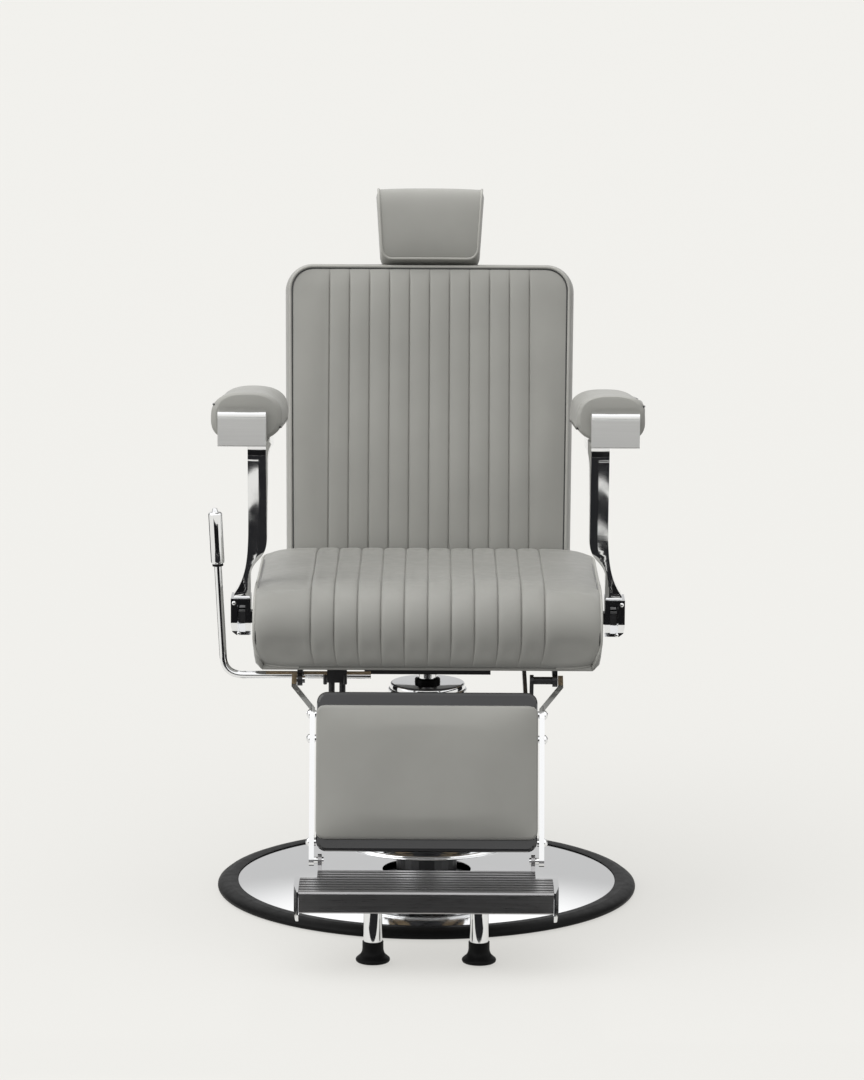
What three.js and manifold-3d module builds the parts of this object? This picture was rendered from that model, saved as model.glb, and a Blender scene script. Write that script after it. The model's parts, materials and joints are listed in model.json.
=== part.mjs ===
// Hydraulic barber chair. Millimetres, +Z up. The sitter faces -Y, with +X on the sitter's left.
// The origin lies on the pump's axis, at the underside of the base. Every piece is drawn at rest:
// pump down, back upright, leg rest and foot plate let down.
import * as THREE from "three";
import { mergeVertices } from "three/addons/utils/BufferGeometryUtils.js";
import Module from "manifold-3d";

const wasm = await Module();
wasm.setup();

// ---- driving dimensions -------------------------------------------------------------------------

const GAP = 0.3; // left between pieces that touch
const RUN = 0.4; // radial play of a pin in its hole
const PAST = 1; // how far a cutting tool runs past the face it cuts
const SIDES = [["left", 1], ["right", -1]];

const BASE_R = 340; // rubber ring, outside
const PLATE_R = 306; // chrome cover, outside
const WEIGHT_R = 285;
const WEIGHT_TOP = 12;
const RING_LIP_Z = 17.5;

const PUMP_HOLE_R = 72; // hole of the base cover
const FLANGE_R = 69;
const FLANGE_TOP = 22;
const BOLT_CIRCLE_R = 57;
const TANK_R = 49;
const TANK_TOP = 124;
const CYLINDER_R = 30;
const CYLINDER_TOP = 336;
const COVER_TOP = 342; // top of the pump's skirt
const COVER_TOP_R = 64;
const SKIRT_R = 143;
const SKIRT_BOTTOM = 80;
const PISTON_R = 16.5;
const PISTON_FOOT = 120;
const HEAD_Z = 372.3; // underside of the piston's head
const HEAD_TOP = 385.7;

const PEDAL_Y = 78; // pedal pivot
const PEDAL_Z = 55;
const PEDAL_PIN_R = 6;
const PEDAL_TREAD = [296, 352]; // from and to, along Y
const PEDAL_TREAD_Z = 90; // underside of the pedal's rubber

const PLATE_Z = 386;
const BAR_Z = 398; // underside of the cross bars
const RAIL_Z = 403; // underside of the side rails
const FRAME_TOP = 418; // top of the bars and rails, under the seat board
const RAIL_X = 195.5; // inner face of a side rail
const RAIL_T = 8;
const CROSSBAR_Y = 135;

const SEAT_HALF = 276;
const SEAT_FRONT = -298;
const SEAT_BOTTOM = 420;
const SEAT_CREST = 545;
const SEAT_REAR_TOP = 525;
const BOARD_TOP = 430;
const BOARD_HALF = 255;
const NOTCH = { x: 248, y0: -176, y1: -124 }; // room for the arm brackets

const BACK_PIVOT = [245, 425]; // Y, Z
const BACK_LEAN = THREE.MathUtils.degToRad(15);
const BACK_FRONT = -53.6; // front of the back cushion, in the back's own frame
const BACK_REAR = 35;
const BACK_LOW = 30;
const BACK_HIGH = 560;
const CRANK_R = 60; // throw of the cranks under the back
const CRANK_TRAVEL = THREE.MathUtils.degToRad(50);
const PIN_R = 5;
const BACK_TUBE_R = 12;
const BACK_STUD_R = 8;
const BACK_SHELL_REAR = 47;
const STRAP_X = [168, 176];
const CYLINDER_X = -92; // plane of the recline cylinder
const ROD_R = 5; // rod of the recline cylinder
const LINK_X = 156.5; // plane of the leg rest link

const LEG_PIVOT = [-258, 400];
const LEG_LEAN = THREE.MathUtils.degToRad(16);
const LEG_STUD_R = 6;
const LEG_RATIO = 0.85; // leg rest swing for one degree of recline
const BAR_X = 178; // middle of a leg rest bar beside the shell
const BAR_TOP_X = 208; // middle of a leg rest bar at its pivot
const SHELL_HALF = 171;
const SHELL_FACE = -74.5; // in the leg rest's own frame
const SHELL_T = 26;
const SHELL_TOP = -24;
const SHELL_LOW = -271;
const FOOT_PIVOT_LOCAL = [-62, -284];
const FOOT_PIVOT = [-395.9, 144.1];

const TREAD_TOP = 131;
const TREAD_HALF = 194;
const TREAD_BACK_HALF = 168;
const TREAD_FRONT = -549;
const TREAD_STEP = -452; // where the tread grows wide
const TREAD_REAR = -405;
const RIB_PITCH = 15;
const FASCIA_LOW = 98;
const TREAD_THICK = 12;
const LUG_X = [162, 168]; // the tread's pivot lug
const FOOT_X = 81.5;
const FOOT_Y = -472;
const FOOT_TUBE = { radius: 14.5, low: 28, high: 123 };

const ARM_X = 268.5; // middle of the arm casting
const ARM_T = 29;
const ARM_SLOPE = THREE.MathUtils.degToRad(7);
const KNUCKLE = { x0: 279.5, x1: 311, y0: -172, y1: -118, z0: 448, z1: 511 };
const ASHTRAY = { x0: 253, x1: 328, y0: -245, y1: -205, z0: 766, z1: 813 };
const LID_TOP = 820;
const PAD = { x0: 227.6, x1: 342, y0: -203, y1: 172, z0: 766.1, z1: 846 };

const LEVER_Y = -200;
const LEVER_Z = 395;
const LEVER_R = 6;
const LEVER_INNER_X = -89;
const GRIP_X = -330;
const GRIP_LOW = 572;
const GRIP_R = 11;

// ---- shapes and solids --------------------------------------------------------------------------

// A closed geometry as a solid, with its shared vertices merged and its faces turned outwards.
function solid(geometry) {
  const bare = geometry.clone();
  bare.deleteAttribute("normal");
  bare.deleteAttribute("uv");
  const merged = mergeVertices(bare, 1e-3);
  const place = merged.attributes.position.array;
  const corners = [];
  let volume = 0;
  const [a, b, c] = [new THREE.Vector3(), new THREE.Vector3(), new THREE.Vector3()];
  for (let i = 0; i < merged.index.count; i += 3) {
    const [p, q, r] = [0, 1, 2].map((k) => merged.index.getX(i + k));
    if (p === q || q === r || r === p) continue;
    corners.push(p, q, r);
    a.fromArray(place, 3 * p);
    b.fromArray(place, 3 * q);
    c.fromArray(place, 3 * r);
    volume += a.dot(b.cross(c));
  }
  if (volume < 0) corners.reverse();
  const mesh = new wasm.Mesh({
    numProp: 3,
    vertProperties: new Float32Array(place),
    triVerts: new Uint32Array(corners),
  });
  return new wasm.Manifold(mesh);
}

function toGeometry(body, side) {
  const mesh = body.getMesh();
  const place = new Float32Array(mesh.vertProperties);
  const corners = new Uint32Array(mesh.triVerts);
  if (side < 0) {
    for (let i = 0; i < place.length; i += 3) place[i] = -place[i];
    corners.reverse();
  }
  const geometry = new THREE.BufferGeometry();
  geometry.setAttribute("position", new THREE.BufferAttribute(place, 3));
  geometry.setIndex(new THREE.BufferAttribute(corners, 1));
  geometry.computeVertexNormals();
  return geometry;
}

function joined(...bodies) {
  return bodies.reduce((sum, body) => sum.add(body));
}

function cut(body, ...tools) {
  return tools.reduce((rest, tool) => rest.subtract(tool), body);
}

function block(x0, x1, y0, y1, z0, z1) {
  const geometry = new THREE.BoxGeometry(x1 - x0, y1 - y0, z1 - z0);
  geometry.translate((x0 + x1) / 2, (y0 + y1) / 2, (z0 + z1) / 2);
  return solid(geometry);
}

// A round bar from one point to another.
function bar(from, to, radius, sides = 14, endRadius = radius) {
  const start = new THREE.Vector3(...from);
  const reach = new THREE.Vector3(...to).sub(start);
  const geometry = new THREE.CylinderGeometry(endRadius, radius, reach.length(), sides);
  geometry.translate(0, reach.length() / 2, 0);
  const up = new THREE.Vector3(0, 1, 0);
  geometry.applyQuaternion(new THREE.Quaternion().setFromUnitVectors(up, reach.normalize()));
  geometry.translate(...from);
  return solid(geometry);
}

// A round bar along X through the point (y, z).
function barX(x0, x1, [y, z], radius, sides = 14) {
  return bar([x0, y, z], [x1, y, z], radius, sides);
}

// A profile of [radius, z] points turned about the vertical line through (x, y).
function spin(profile, sides = 40, x = 0, y = 0) {
  const points = profile.map(([r, z]) => new THREE.Vector2(r, z));
  if (profile[0][0] > 0) points.push(points[0].clone());
  const geometry = new THREE.LatheGeometry(points, sides);
  geometry.rotateX(Math.PI / 2);
  geometry.translate(x, y, 0);
  return solid(geometry);
}

function outline(points) {
  return new THREE.Shape(points.map(([a, b]) => new THREE.Vector2(a, b)));
}

// A rectangle whose corners are rounded.
function softBox(a0, a1, b0, b1, radius) {
  const shape = new THREE.Shape();
  shape.absarc(a1 - radius, b1 - radius, radius, 0, Math.PI / 2);
  shape.absarc(a0 + radius, b1 - radius, radius, Math.PI / 2, Math.PI);
  shape.absarc(a0 + radius, b0 + radius, radius, Math.PI, 1.5 * Math.PI);
  shape.absarc(a1 - radius, b0 + radius, radius, 1.5 * Math.PI, 2 * Math.PI);
  return shape;
}

// A strip with round ends, from p to q.
function strip([pa, pb], [qa, qb], radius, endRadius = radius) {
  const turn = Math.atan2(qb - pb, qa - pa);
  const shape = new THREE.Shape();
  shape.absarc(qa, qb, endRadius, turn - Math.PI / 2, turn + Math.PI / 2);
  shape.absarc(pa, pb, radius, turn + Math.PI / 2, turn + 1.5 * Math.PI);
  return shape;
}

// A shape pushed along an axis, with its rims rounded by round.
function push(shape, axes, from, to, round, segments) {
  const options = {
    depth: to - from - 2 * round,
    curveSegments: segments,
    bevelEnabled: round > 0,
    bevelThickness: round,
    bevelSize: round,
    bevelOffset: -round,
    bevelSegments: 2,
  };
  const geometry = new THREE.ExtrudeGeometry(shape, options);
  geometry.translate(0, 0, from + round);
  return solid(geometry.applyMatrix4(axes));
}

const AXES_X = new THREE.Matrix4().makeBasis(
  new THREE.Vector3(0, 1, 0), new THREE.Vector3(0, 0, 1), new THREE.Vector3(1, 0, 0));
const AXES_Y = new THREE.Matrix4().makeBasis(
  new THREE.Vector3(-1, 0, 0), new THREE.Vector3(0, 0, 1), new THREE.Vector3(0, 1, 0));
const AXES_Z = new THREE.Matrix4();

// A side view (y, z) pushed along X, a front view (x, z) along Y, and a plan (x, y) along Z.
// The front views of this chair are drawn from behind: their first value is -x.
function pushX(shape, x0, x1, round = 0, segments = 3) {
  return push(shape, AXES_X, x0, x1, round, segments);
}

function pushY(shape, y0, y1, round = 0, segments = 3) {
  return push(shape, AXES_Y, y0, y1, round, segments);
}

function pushZ(shape, z0, z1, round = 0, segments = 3) {
  return push(shape, AXES_Z, z0, z1, round, segments);
}

// ---- finishes -----------------------------------------------------------------------------------

function finish(color, roughness, metalness) {
  return () => new THREE.MeshStandardMaterial({ color, roughness, metalness });
}

const CHROME = finish(0xd9dcdd, 0.08, 1);
const SATIN = finish(0xb4b5b3, 0.32, 1);
const STEEL = finish(0x8f9294, 0.4, 1);
const BLACK = finish(0x17181a, 0.4, 0.3);
const RUBBER = finish(0x151515, 0.6, 0);
const LEATHER = finish(0x96958f, 0.5, 0);
const ALUMINIUM = finish(0x77787a, 0.38, 1);
const WOOD = finish(0xb99a6d, 0.7, 0);
const IRON = finish(0x3a3c3e, 0.6, 0.8);

const chair = new THREE.Group();

function add(parent, name, body, makeFinish, side = 1) {
  const mesh = new THREE.Mesh(toGeometry(body, side), makeFinish());
  mesh.name = name;
  parent.add(mesh);
}

// ---- base and pump ------------------------------------------------------------------------------

function baseWeight() {
  const edge = 3;
  return spin([
    [0, 0], [WEIGHT_R - edge, 0], [WEIGHT_R, edge], [WEIGHT_R, WEIGHT_TOP - edge],
    [WEIGHT_R - edge, WEIGHT_TOP], [0, WEIGHT_TOP],
  ], 48);
}

// A shallow dish of sheet that rises from its rim to the hole round the pump.
function baseCover() {
  const sheet = 1.6;
  const rimZ = 13.6;
  const rise = 16;
  const steps = 4;
  const profile = [];
  for (let i = 0; i <= steps; i += 1) {
    const r = PLATE_R + (PUMP_HOLE_R - PLATE_R) * (i / steps);
    profile.push([r, rimZ + sheet + rise * Math.sin((i / steps) * Math.PI / 2)]);
  }
  const below = profile.map(([r, z]) => [r, z - sheet]).reverse();
  return spin([...profile, ...below], 48);
}

// The ring's section: a flat foot, a round outer side and a lip that holds the cover's rim.
function baseRing() {
  const footZ = 1;
  const ledgeZ = 13.2;
  const innerR = WEIGHT_R + 3;
  return spin([
    [innerR, footZ], [BASE_R - 6, footZ], [BASE_R, 6], [BASE_R - 4, 12],
    [BASE_R - 22, RING_LIP_Z], [PLATE_R + 1, 16.6], [PLATE_R + 1, ledgeZ], [innerR, ledgeZ],
  ], 48);
}

function pumpFlange() {
  const [foot, top] = [WEIGHT_TOP + GAP, FLANGE_TOP];
  const [boltR, boltHeight] = [7, 6];
  const bolts = [45, 135, 225, 315].map((degrees) => {
    const angle = THREE.MathUtils.degToRad(degrees);
    const [x, y] = [BOLT_CIRCLE_R * Math.cos(angle), BOLT_CIRCLE_R * Math.sin(angle)];
    return bar([x, y, top - PAST], [x, y, top + boltHeight], boltR, 6);
  });
  const disc = spin([[0, foot], [FLANGE_R, foot], [FLANGE_R, top], [0, top]], 32);
  return joined(disc, ...bolts);
}

// The oil tank, with the two lugs that carry the pedal's pin.
function pumpReservoir() {
  const floorZ = FLANGE_TOP + GAP;
  const inner = CYLINDER_R + GAP + 0.5;
  const tank = spin([
    [inner, floorZ], [TANK_R - 3, floorZ], [TANK_R, floorZ + 5], [TANK_R, TANK_TOP - 6],
    [TANK_R - 5, TANK_TOP], [inner, TANK_TOP],
  ], 24);
  const [lugR, lugT] = [12, 8];
  const lugs = [-26, 18].map((x) => joined(
    block(x, x + lugT, TANK_R - 9, PEDAL_Y, PEDAL_Z - lugR, PEDAL_Z + lugR),
    barX(x, x + lugT, [PEDAL_Y, PEDAL_Z], lugR),
  ));
  const pinHole = barX(-40, 40, [PEDAL_Y, PEDAL_Z], PEDAL_PIN_R + RUN);
  const bore = bar([0, 0, floorZ - PAST], [0, 0, TANK_TOP + PAST], inner, 24);
  return cut(joined(tank, ...lugs), pinHole, bore);
}

function pumpCylinder() {
  const floorZ = FLANGE_TOP + GAP;
  const bore = PISTON_R + RUN;
  const boreFoot = 60;
  return spin([
    [0, floorZ], [CYLINDER_R, floorZ], [CYLINDER_R, CYLINDER_TOP - 2], [CYLINDER_R - 2, CYLINDER_TOP],
    [bore, CYLINDER_TOP], [bore, boreFoot], [0, boreFoot],
  ], 24);
}

// The trumpet-shaped skirt: a straight neck that flares out over the foot of the pump.
function pumpCover() {
  const sheet = 2;
  const holeR = 21;
  const neckZ = 230;
  const steps = 6;
  const outer = [[holeR, COVER_TOP], [COVER_TOP_R - 8, COVER_TOP], [COVER_TOP_R, COVER_TOP - 8]];
  for (let i = 0; i <= steps; i += 1) {
    const t = i / steps;
    const z = neckZ + (SKIRT_BOTTOM + 8 - neckZ) * Math.sin((t * Math.PI) / 2);
    outer.push([COVER_TOP_R + (SKIRT_R - COVER_TOP_R) * (1 - Math.cos((t * Math.PI) / 2)), z]);
  }
  const rim = [[SKIRT_R + 2, SKIRT_BOTTOM + 4], [SKIRT_R, SKIRT_BOTTOM], [SKIRT_R - 4, SKIRT_BOTTOM + 3]];
  const inner = outer.slice(2).map(([r, z]) => [r - sheet, z - sheet]).reverse();
  return spin([...outer, ...rim, ...inner, [holeR, COVER_TOP - sheet]], 36);
}

function pumpWiper() {
  const bore = PISTON_R + RUN;
  const [foot, top] = [CYLINDER_TOP + GAP, COVER_TOP + 8];
  const outer = 20.5;
  return spin([[bore, foot], [outer, foot], [outer, top - 3], [outer - 2, top], [bore, top]], 24);
}

// The pedal's arm climbs from its pivot, under the skirt, to the tread behind the base.
function pedalArm() {
  const [eyeHalf, half, thick] = [17, 11, 12];
  const [near, far] = PEDAL_TREAD;
  const top = PEDAL_TREAD_Z;
  const eye = barX(-eyeHalf, eyeHalf, [PEDAL_Y, PEDAL_Z], 13);
  const arm = pushX(outline([
    [PEDAL_Y, PEDAL_Z - 7], [150, 52], [near, top - thick], [far, top - thick],
    [far, top], [near - 4, top], [146, 66], [PEDAL_Y, PEDAL_Z + 7],
  ]), -half, half);
  const reach = eyeHalf + PAST;
  return cut(joined(eye, arm), barX(-reach, reach, [PEDAL_Y, PEDAL_Z], PEDAL_PIN_R + RUN));
}

function pedalPad() {
  const [low, high] = [PEDAL_TREAD_Z + GAP, PEDAL_TREAD_Z + 9];
  const [half, ribHalf, ribWide, ribHigh] = [44, 38, 6, 2];
  const ribs = [306, 321, 336].map((y) =>
    block(-ribHalf, ribHalf, y, y + ribWide, high - PAST, high + ribHigh));
  return joined(pushZ(softBox(-half, half, ...PEDAL_TREAD, 10), low, high), ...ribs);
}

add(chair, "base_weight", baseWeight(), IRON);
add(chair, "base_cover", baseCover(), CHROME);
add(chair, "base_ring", baseRing(), RUBBER);
add(chair, "pump_flange", pumpFlange(), BLACK);
add(chair, "pump_reservoir", pumpReservoir(), BLACK);
add(chair, "pump_cylinder", pumpCylinder(), STEEL);
add(chair, "pump_cover", pumpCover(), CHROME);
add(chair, "pump_wiper", pumpWiper(), RUBBER);
add(chair, "pedal_pin", barX(-30, 30, [PEDAL_Y, PEDAL_Z], PEDAL_PIN_R), STEEL);
add(chair, "pedal_arm", pedalArm(), CHROME);
add(chair, "pedal_pad", pedalPad(), RUBBER);

// ---- piston and seat frame ----------------------------------------------------------------------

function pistonHead() {
  const radius = 55;
  return spin([
    [0, HEAD_Z + GAP], [radius - 5, HEAD_Z + GAP], [radius, HEAD_Z + 5],
    [radius, HEAD_TOP - 1.5], [radius - 1.5, HEAD_TOP], [0, HEAD_TOP],
  ], 28);
}

function crossbar(y) {
  const [half, halfWide] = [RAIL_X - GAP, 15];
  return block(-half, half, y - halfWide, y + halfWide, BAR_Z, FRAME_TOP);
}

// A side rail carries the leg rest's pivot in front and the back's pivot behind.
function seatRail() {
  const [x0, x1] = [RAIL_X, RAIL_X + RAIL_T];
  const flat = block(x0, x1, LEG_PIVOT[0], 215, RAIL_Z, FRAME_TOP);
  const rise = pushX(strip([212, 411], BACK_PIVOT, 7, 14), x0, x1);
  const bosses = joined(barX(x0, x1, LEG_PIVOT, 10), barX(x0, x1, BACK_PIVOT, 17));
  return cut(
    joined(flat, rise, bosses),
    barX(x0 - PAST, x1 + PAST, LEG_PIVOT, LEG_STUD_R + RUN),
    barX(x0 - PAST, x1 + PAST, BACK_PIVOT, BACK_STUD_R + RUN),
  );
}

// The block that carries the release lever, with its two guide posts.
function leverBracket() {
  const [x0, x1] = [-158, -127];
  const body = block(x0, x1, LEVER_Y - 12, LEVER_Y + 12, 385, FRAME_TOP);
  const posts = [x0 + 7, x1 - 7].map((x) => bar([x, LEVER_Y, 345], [x, LEVER_Y, 390], 5, 14));
  const bore = barX(x0 - PAST, x1 + PAST, [LEVER_Y, LEVER_Z], LEVER_R + RUN);
  return cut(joined(body, ...posts), bore);
}

// Height of the recline rod: half way between the highest and lowest places of the crank's pin.
const PIN_SWING = CRANK_TRAVEL / 2;
const PIN_HIGH = BACK_PIVOT[1] - CRANK_R * Math.cos(PIN_SWING);
const PIN_LOW = BACK_PIVOT[1] - CRANK_R;
const ROD_Z = (PIN_HIGH + PIN_LOW) / 2;
const CRANK_PIN = [BACK_PIVOT[0] + CRANK_R * Math.sin(PIN_SWING), PIN_HIGH];

function reclineCylinder() {
  const tube = bar([CYLINDER_X, 4, ROD_Z], [CYLINDER_X, 170, ROD_Z], 13, 20);
  const bore = bar([CYLINDER_X, 20, ROD_Z], [CYLINDER_X, 171, ROD_Z], ROD_R + RUN, 16);
  const lug = block(CYLINDER_X - 8, CYLINDER_X + 8, -12, 14, ROD_Z - 8, PLATE_Z - GAP);
  return cut(joined(tube, lug), bore);
}

add(chair, "piston_rod", bar([0, 0, PISTON_FOOT], [0, 0, HEAD_Z], PISTON_R, 24), CHROME);
add(chair, "piston_head", pistonHead(), BLACK);
add(chair, "seat_mount_plate", block(-100, 100, -150, 150, PLATE_Z, BAR_Z - GAP), BLACK);
add(chair, "seat_crossbar_front", crossbar(-CROSSBAR_Y), BLACK);
add(chair, "seat_crossbar_rear", crossbar(CROSSBAR_Y), BLACK);
for (const [name, side] of SIDES) add(chair, `seat_rail_${name}`, seatRail(), BLACK, side);
add(chair, "lever_bracket", leverBracket(), BLACK);
add(chair, "recline_cylinder", reclineCylinder(), BLACK);

// ---- seat ---------------------------------------------------------------------------------------

// The cushion's side view: upright rear face that leans with the back, level top, big front roll.
function seatOutline() {
  const shape = new THREE.Shape();
  shape.moveTo(186, SEAT_BOTTOM);
  shape.lineTo(206, SEAT_REAR_TOP - 10);
  shape.quadraticCurveTo(205, SEAT_REAR_TOP, 194, SEAT_REAR_TOP + 1);
  shape.lineTo(-90, 536);
  shape.bezierCurveTo(-190, SEAT_CREST, -255, SEAT_CREST + 2, -283, 512);
  shape.bezierCurveTo(-300, 490, SEAT_FRONT, 465, SEAT_FRONT, 438);
  shape.quadraticCurveTo(SEAT_FRONT, SEAT_BOTTOM, -280, SEAT_BOTTOM);
  return shape;
}

function seatCushion() {
  const body = pushX(seatOutline(), -SEAT_HALF, SEAT_HALF, 8, 4);
  const half = BOARD_HALF + GAP;
  const recess = block(-half, half, -272, 172, SEAT_BOTTOM - PAST, BOARD_TOP + GAP);
  const [far, pocketTop] = [SEAT_HALF + 4, 500];
  const pockets = [[-far, -NOTCH.x], [NOTCH.x, far]].map(([x0, x1]) =>
    block(x0, x1, NOTCH.y0, NOTCH.y1, SEAT_BOTTOM - PAST, pocketTop));
  return cut(body, recess, ...pockets);
}

function seatBoard() {
  const body = block(-BOARD_HALF, BOARD_HALF, -271, 171, FRAME_TOP + GAP, BOARD_TOP);
  const far = BOARD_HALF + PAST;
  const notches = [[-far, -NOTCH.x], [NOTCH.x, far]].map(([x0, x1]) =>
    block(x0, x1, NOTCH.y0, NOTCH.y1, FRAME_TOP, BOARD_TOP + PAST));
  return cut(body, ...notches);
}

add(chair, "seat_board", seatBoard(), WOOD);
add(chair, "seat_cushion", seatCushion(), LEATHER);

// ---- arms ---------------------------------------------------------------------------------------

const TONGUE = { y0: -160, y1: -140, z0: 470, z1: 488 };

function armBracket() {
  const reach = block(RAIL_X + RAIL_T + GAP, 262, -170, -130, 404, 414);
  const riser = block(252, 262, -170, -130, 404, 494);
  const tongue = block(261, 299, TONGUE.y0, TONGUE.y1, TONGUE.z0, TONGUE.z1);
  return joined(reach, riser, tongue);
}

// The arm's foot: a block with a round underside and a slot that opens to the front.
function armKnuckle() {
  const { x0, x1, y0, y1, z0, z1 } = KNUCKLE;
  const side = new THREE.Shape();
  side.moveTo(y1, z1);
  side.lineTo(y0, z1);
  side.lineTo(y0, z0 + 24);
  side.quadraticCurveTo(y0, z0, y0 + 24, z0);
  side.lineTo(y1 - 14, z0);
  side.quadraticCurveTo(y1, z0, y1, z0 + 14);
  const front = new THREE.Shape();
  front.moveTo(-x0, z1);
  front.lineTo(-x1, z1);
  front.lineTo(-x1, z0 + 20);
  front.quadraticCurveTo(-x1, z0, -x1 + 20, z0);
  front.lineTo(-x0, z0);
  const body = pushX(side, x0, x1).intersect(pushY(front, y0 - PAST, y1 + PAST));
  const slotX = [288, 300.6];
  const slot = block(...slotX, y0 - PAST, -134, z0 + 9, z1 - 10);
  const hole = block(
    x0 - PAST, slotX[1], TONGUE.y0 - GAP, TONGUE.y1 + GAP, TONGUE.z0 - GAP, TONGUE.z1 + GAP);
  return cut(body, slot, hole);
}

// Top of the arm's rail at a given y: it falls away gently towards the back.
function railTop(y) {
  return ASHTRAY.z0 - (y - ASHTRAY.y1) * Math.tan(ARM_SLOPE);
}

// The arm casting is where its side view and its front view agree.
function armFrame() {
  const foot = KNUCKLE.z1 + GAP;
  const railDepth = 18;
  const [front, rear] = [ASHTRAY.y1 + GAP, 165];
  const side = new THREE.Shape();
  side.moveTo(-166, foot);
  side.bezierCurveTo(-172, 600, -186, 680, front, railTop(front) - railDepth - 4);
  side.lineTo(front, railTop(front));
  side.lineTo(rear, railTop(rear));
  side.lineTo(rear, railTop(rear) - railDepth + 6);
  side.quadraticCurveTo(rear, railTop(rear) - railDepth, rear - 8, railTop(rear) - railDepth);
  side.lineTo(20, railTop(20) - railDepth);
  side.bezierCurveTo(-80, railTop(-80) - railDepth, -136, 690, -132, 600);
  side.lineTo(-124, foot);
  const [inner, outer] = [ARM_X - ARM_T / 2, ARM_X + ARM_T / 2];
  const view = new THREE.Shape();
  view.moveTo(-280, foot);
  view.lineTo(-280, 545);
  view.bezierCurveTo(-279, 575, -inner, 572, -inner, 606);
  view.lineTo(-inner, 775);
  view.lineTo(-outer, 775);
  view.lineTo(-outer, 640);
  view.bezierCurveTo(-outer, 580, -286, 545, -306, foot + 6);
  view.lineTo(-306, foot);
  return pushX(side, 250, 312, 0, 8).intersect(pushY(view, -230, 200, 0, 6));
}

// The pad is drawn level about its front end and then tipped to the rail's slope.
function armPad() {
  const { x0, x1, y0, y1, z0, z1 } = PAD;
  const [corner, end] = [30, 18];
  const geometry = new THREE.ExtrudeGeometry(softBox(0, x1 - x0, 0, z1 - z0, corner), {
    depth: y1 - y0 - 2 * end,
    curveSegments: 3,
    bevelThickness: end,
    bevelSize: end,
    bevelOffset: -end,
    bevelSegments: 2,
  });
  geometry.rotateX(Math.PI / 2);
  geometry.translate(x0, y1 - y0 - end, 0);
  geometry.rotateX(-ARM_SLOPE);
  geometry.translate(0, y0, z0);
  return solid(geometry);
}

function ashtrayBox() {
  const { x0, x1, y0, y1, z0, z1 } = ASHTRAY;
  const wall = 2.2;
  const hollow = block(x0 + wall, x1 - wall, y0 + wall, y1 - wall, z0 + wall, z1 + PAST);
  return cut(pushX(softBox(y0, y1, z0, z1, 2), x0, x1, 0, 3), hollow);
}

function ashtrayLid() {
  const { x0, x1, y0, y1, z1 } = ASHTRAY;
  const side = new THREE.Shape();
  side.moveTo(y0 - 1, z1 + GAP);
  side.lineTo(y1, z1 + GAP);
  side.lineTo(y1, LID_TOP);
  side.lineTo(y0 + 4, LID_TOP);
  side.quadraticCurveTo(y0 - 1, LID_TOP, y0 - 1, LID_TOP - 4);
  return pushX(side, x0, x1, 0, 4);
}

for (const [name, side] of SIDES) {
  add(chair, `arm_bracket_${name}`, armBracket(), BLACK, side);
  add(chair, `arm_knuckle_${name}`, armKnuckle(), CHROME, side);
  add(chair, `arm_frame_${name}`, armFrame(), CHROME, side);
  add(chair, `arm_pad_${name}`, armPad(), LEATHER, side);
  add(chair, `ashtray_box_${name}`, ashtrayBox(), SATIN, side);
  add(chair, `ashtray_lid_${name}`, ashtrayLid(), CHROME, side);
}

// ---- release lever ------------------------------------------------------------------------------

// One bent rod: level under the seat, round a bend outside it and up to the grip.
function leverRod() {
  const [bendX, standX] = [-290, -322];
  const bend = 32;
  const path = new THREE.CurvePath();
  const point = (x, z) => new THREE.Vector3(x, LEVER_Y, z);
  path.add(new THREE.LineCurve3(point(LEVER_INNER_X, LEVER_Z), point(bendX, LEVER_Z)));
  path.add(new THREE.QuadraticBezierCurve3(
    point(bendX, LEVER_Z), point(standX, LEVER_Z), point(standX, LEVER_Z + bend)));
  path.add(new THREE.LineCurve3(point(standX, LEVER_Z + bend), point(GRIP_X, GRIP_LOW)));
  const section = new THREE.Shape().absarc(0, 0, LEVER_R, 0, 2 * Math.PI);
  return solid(new THREE.ExtrudeGeometry(section, { steps: 26, curveSegments: 4, extrudePath: path }));
}

function leverGrip() {
  const [low, high] = [[GRIP_X, LEVER_Y, GRIP_LOW + GAP], [GRIP_X - 4.5, LEVER_Y, 660]];
  const crown = bar(high, [GRIP_X - 4.7, LEVER_Y, 664], GRIP_R, 16, GRIP_R - 3);
  return joined(bar(low, high, GRIP_R, 16), crown);
}

add(chair, "lever_rod", leverRod(), CHROME);
add(chair, "lever_grip", leverGrip(), CHROME);

// ---- back rest, in its own frame: origin on the pivot, leaning back ------------------------------

const back = new THREE.Group();
back.position.set(0, ...BACK_PIVOT);
back.rotation.x = -BACK_LEAN;
chair.add(back);

// The crank's pin in the back's own frame, where the lean is undone.
const CRANK_ANGLE = PIN_SWING + BACK_LEAN;
const CRANK_LOCAL = [CRANK_R * Math.sin(CRANK_ANGLE), -CRANK_R * Math.cos(CRANK_ANGLE)];

// The cross tube that the back turns on, with the two cranks under it.
function backPivotTube() {
  const half = RAIL_X - GAP;
  const tube = barX(-half, half, [0, 0], BACK_TUBE_R, 20);
  const studEnd = RAIL_X + RAIL_T + 4;
  const studs = barX(-studEnd, studEnd, [0, 0], BACK_STUD_R);
  const cranks = [[CYLINDER_X + 6.5, CYLINDER_X + 14], [LINK_X - 11, LINK_X - 3.6]].map(([x0, x1]) =>
    pushX(strip([0, 0], CRANK_LOCAL, 15, 10), x0, x1));
  const pins = joined(
    barX(CYLINDER_X - 9, CYLINDER_X + 10, CRANK_LOCAL, PIN_R, 16),
    barX(LINK_X - 8, LINK_X + 8, CRANK_LOCAL, PIN_R, 16),
  );
  return joined(tube, studs, ...cranks, pins);
}

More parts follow.
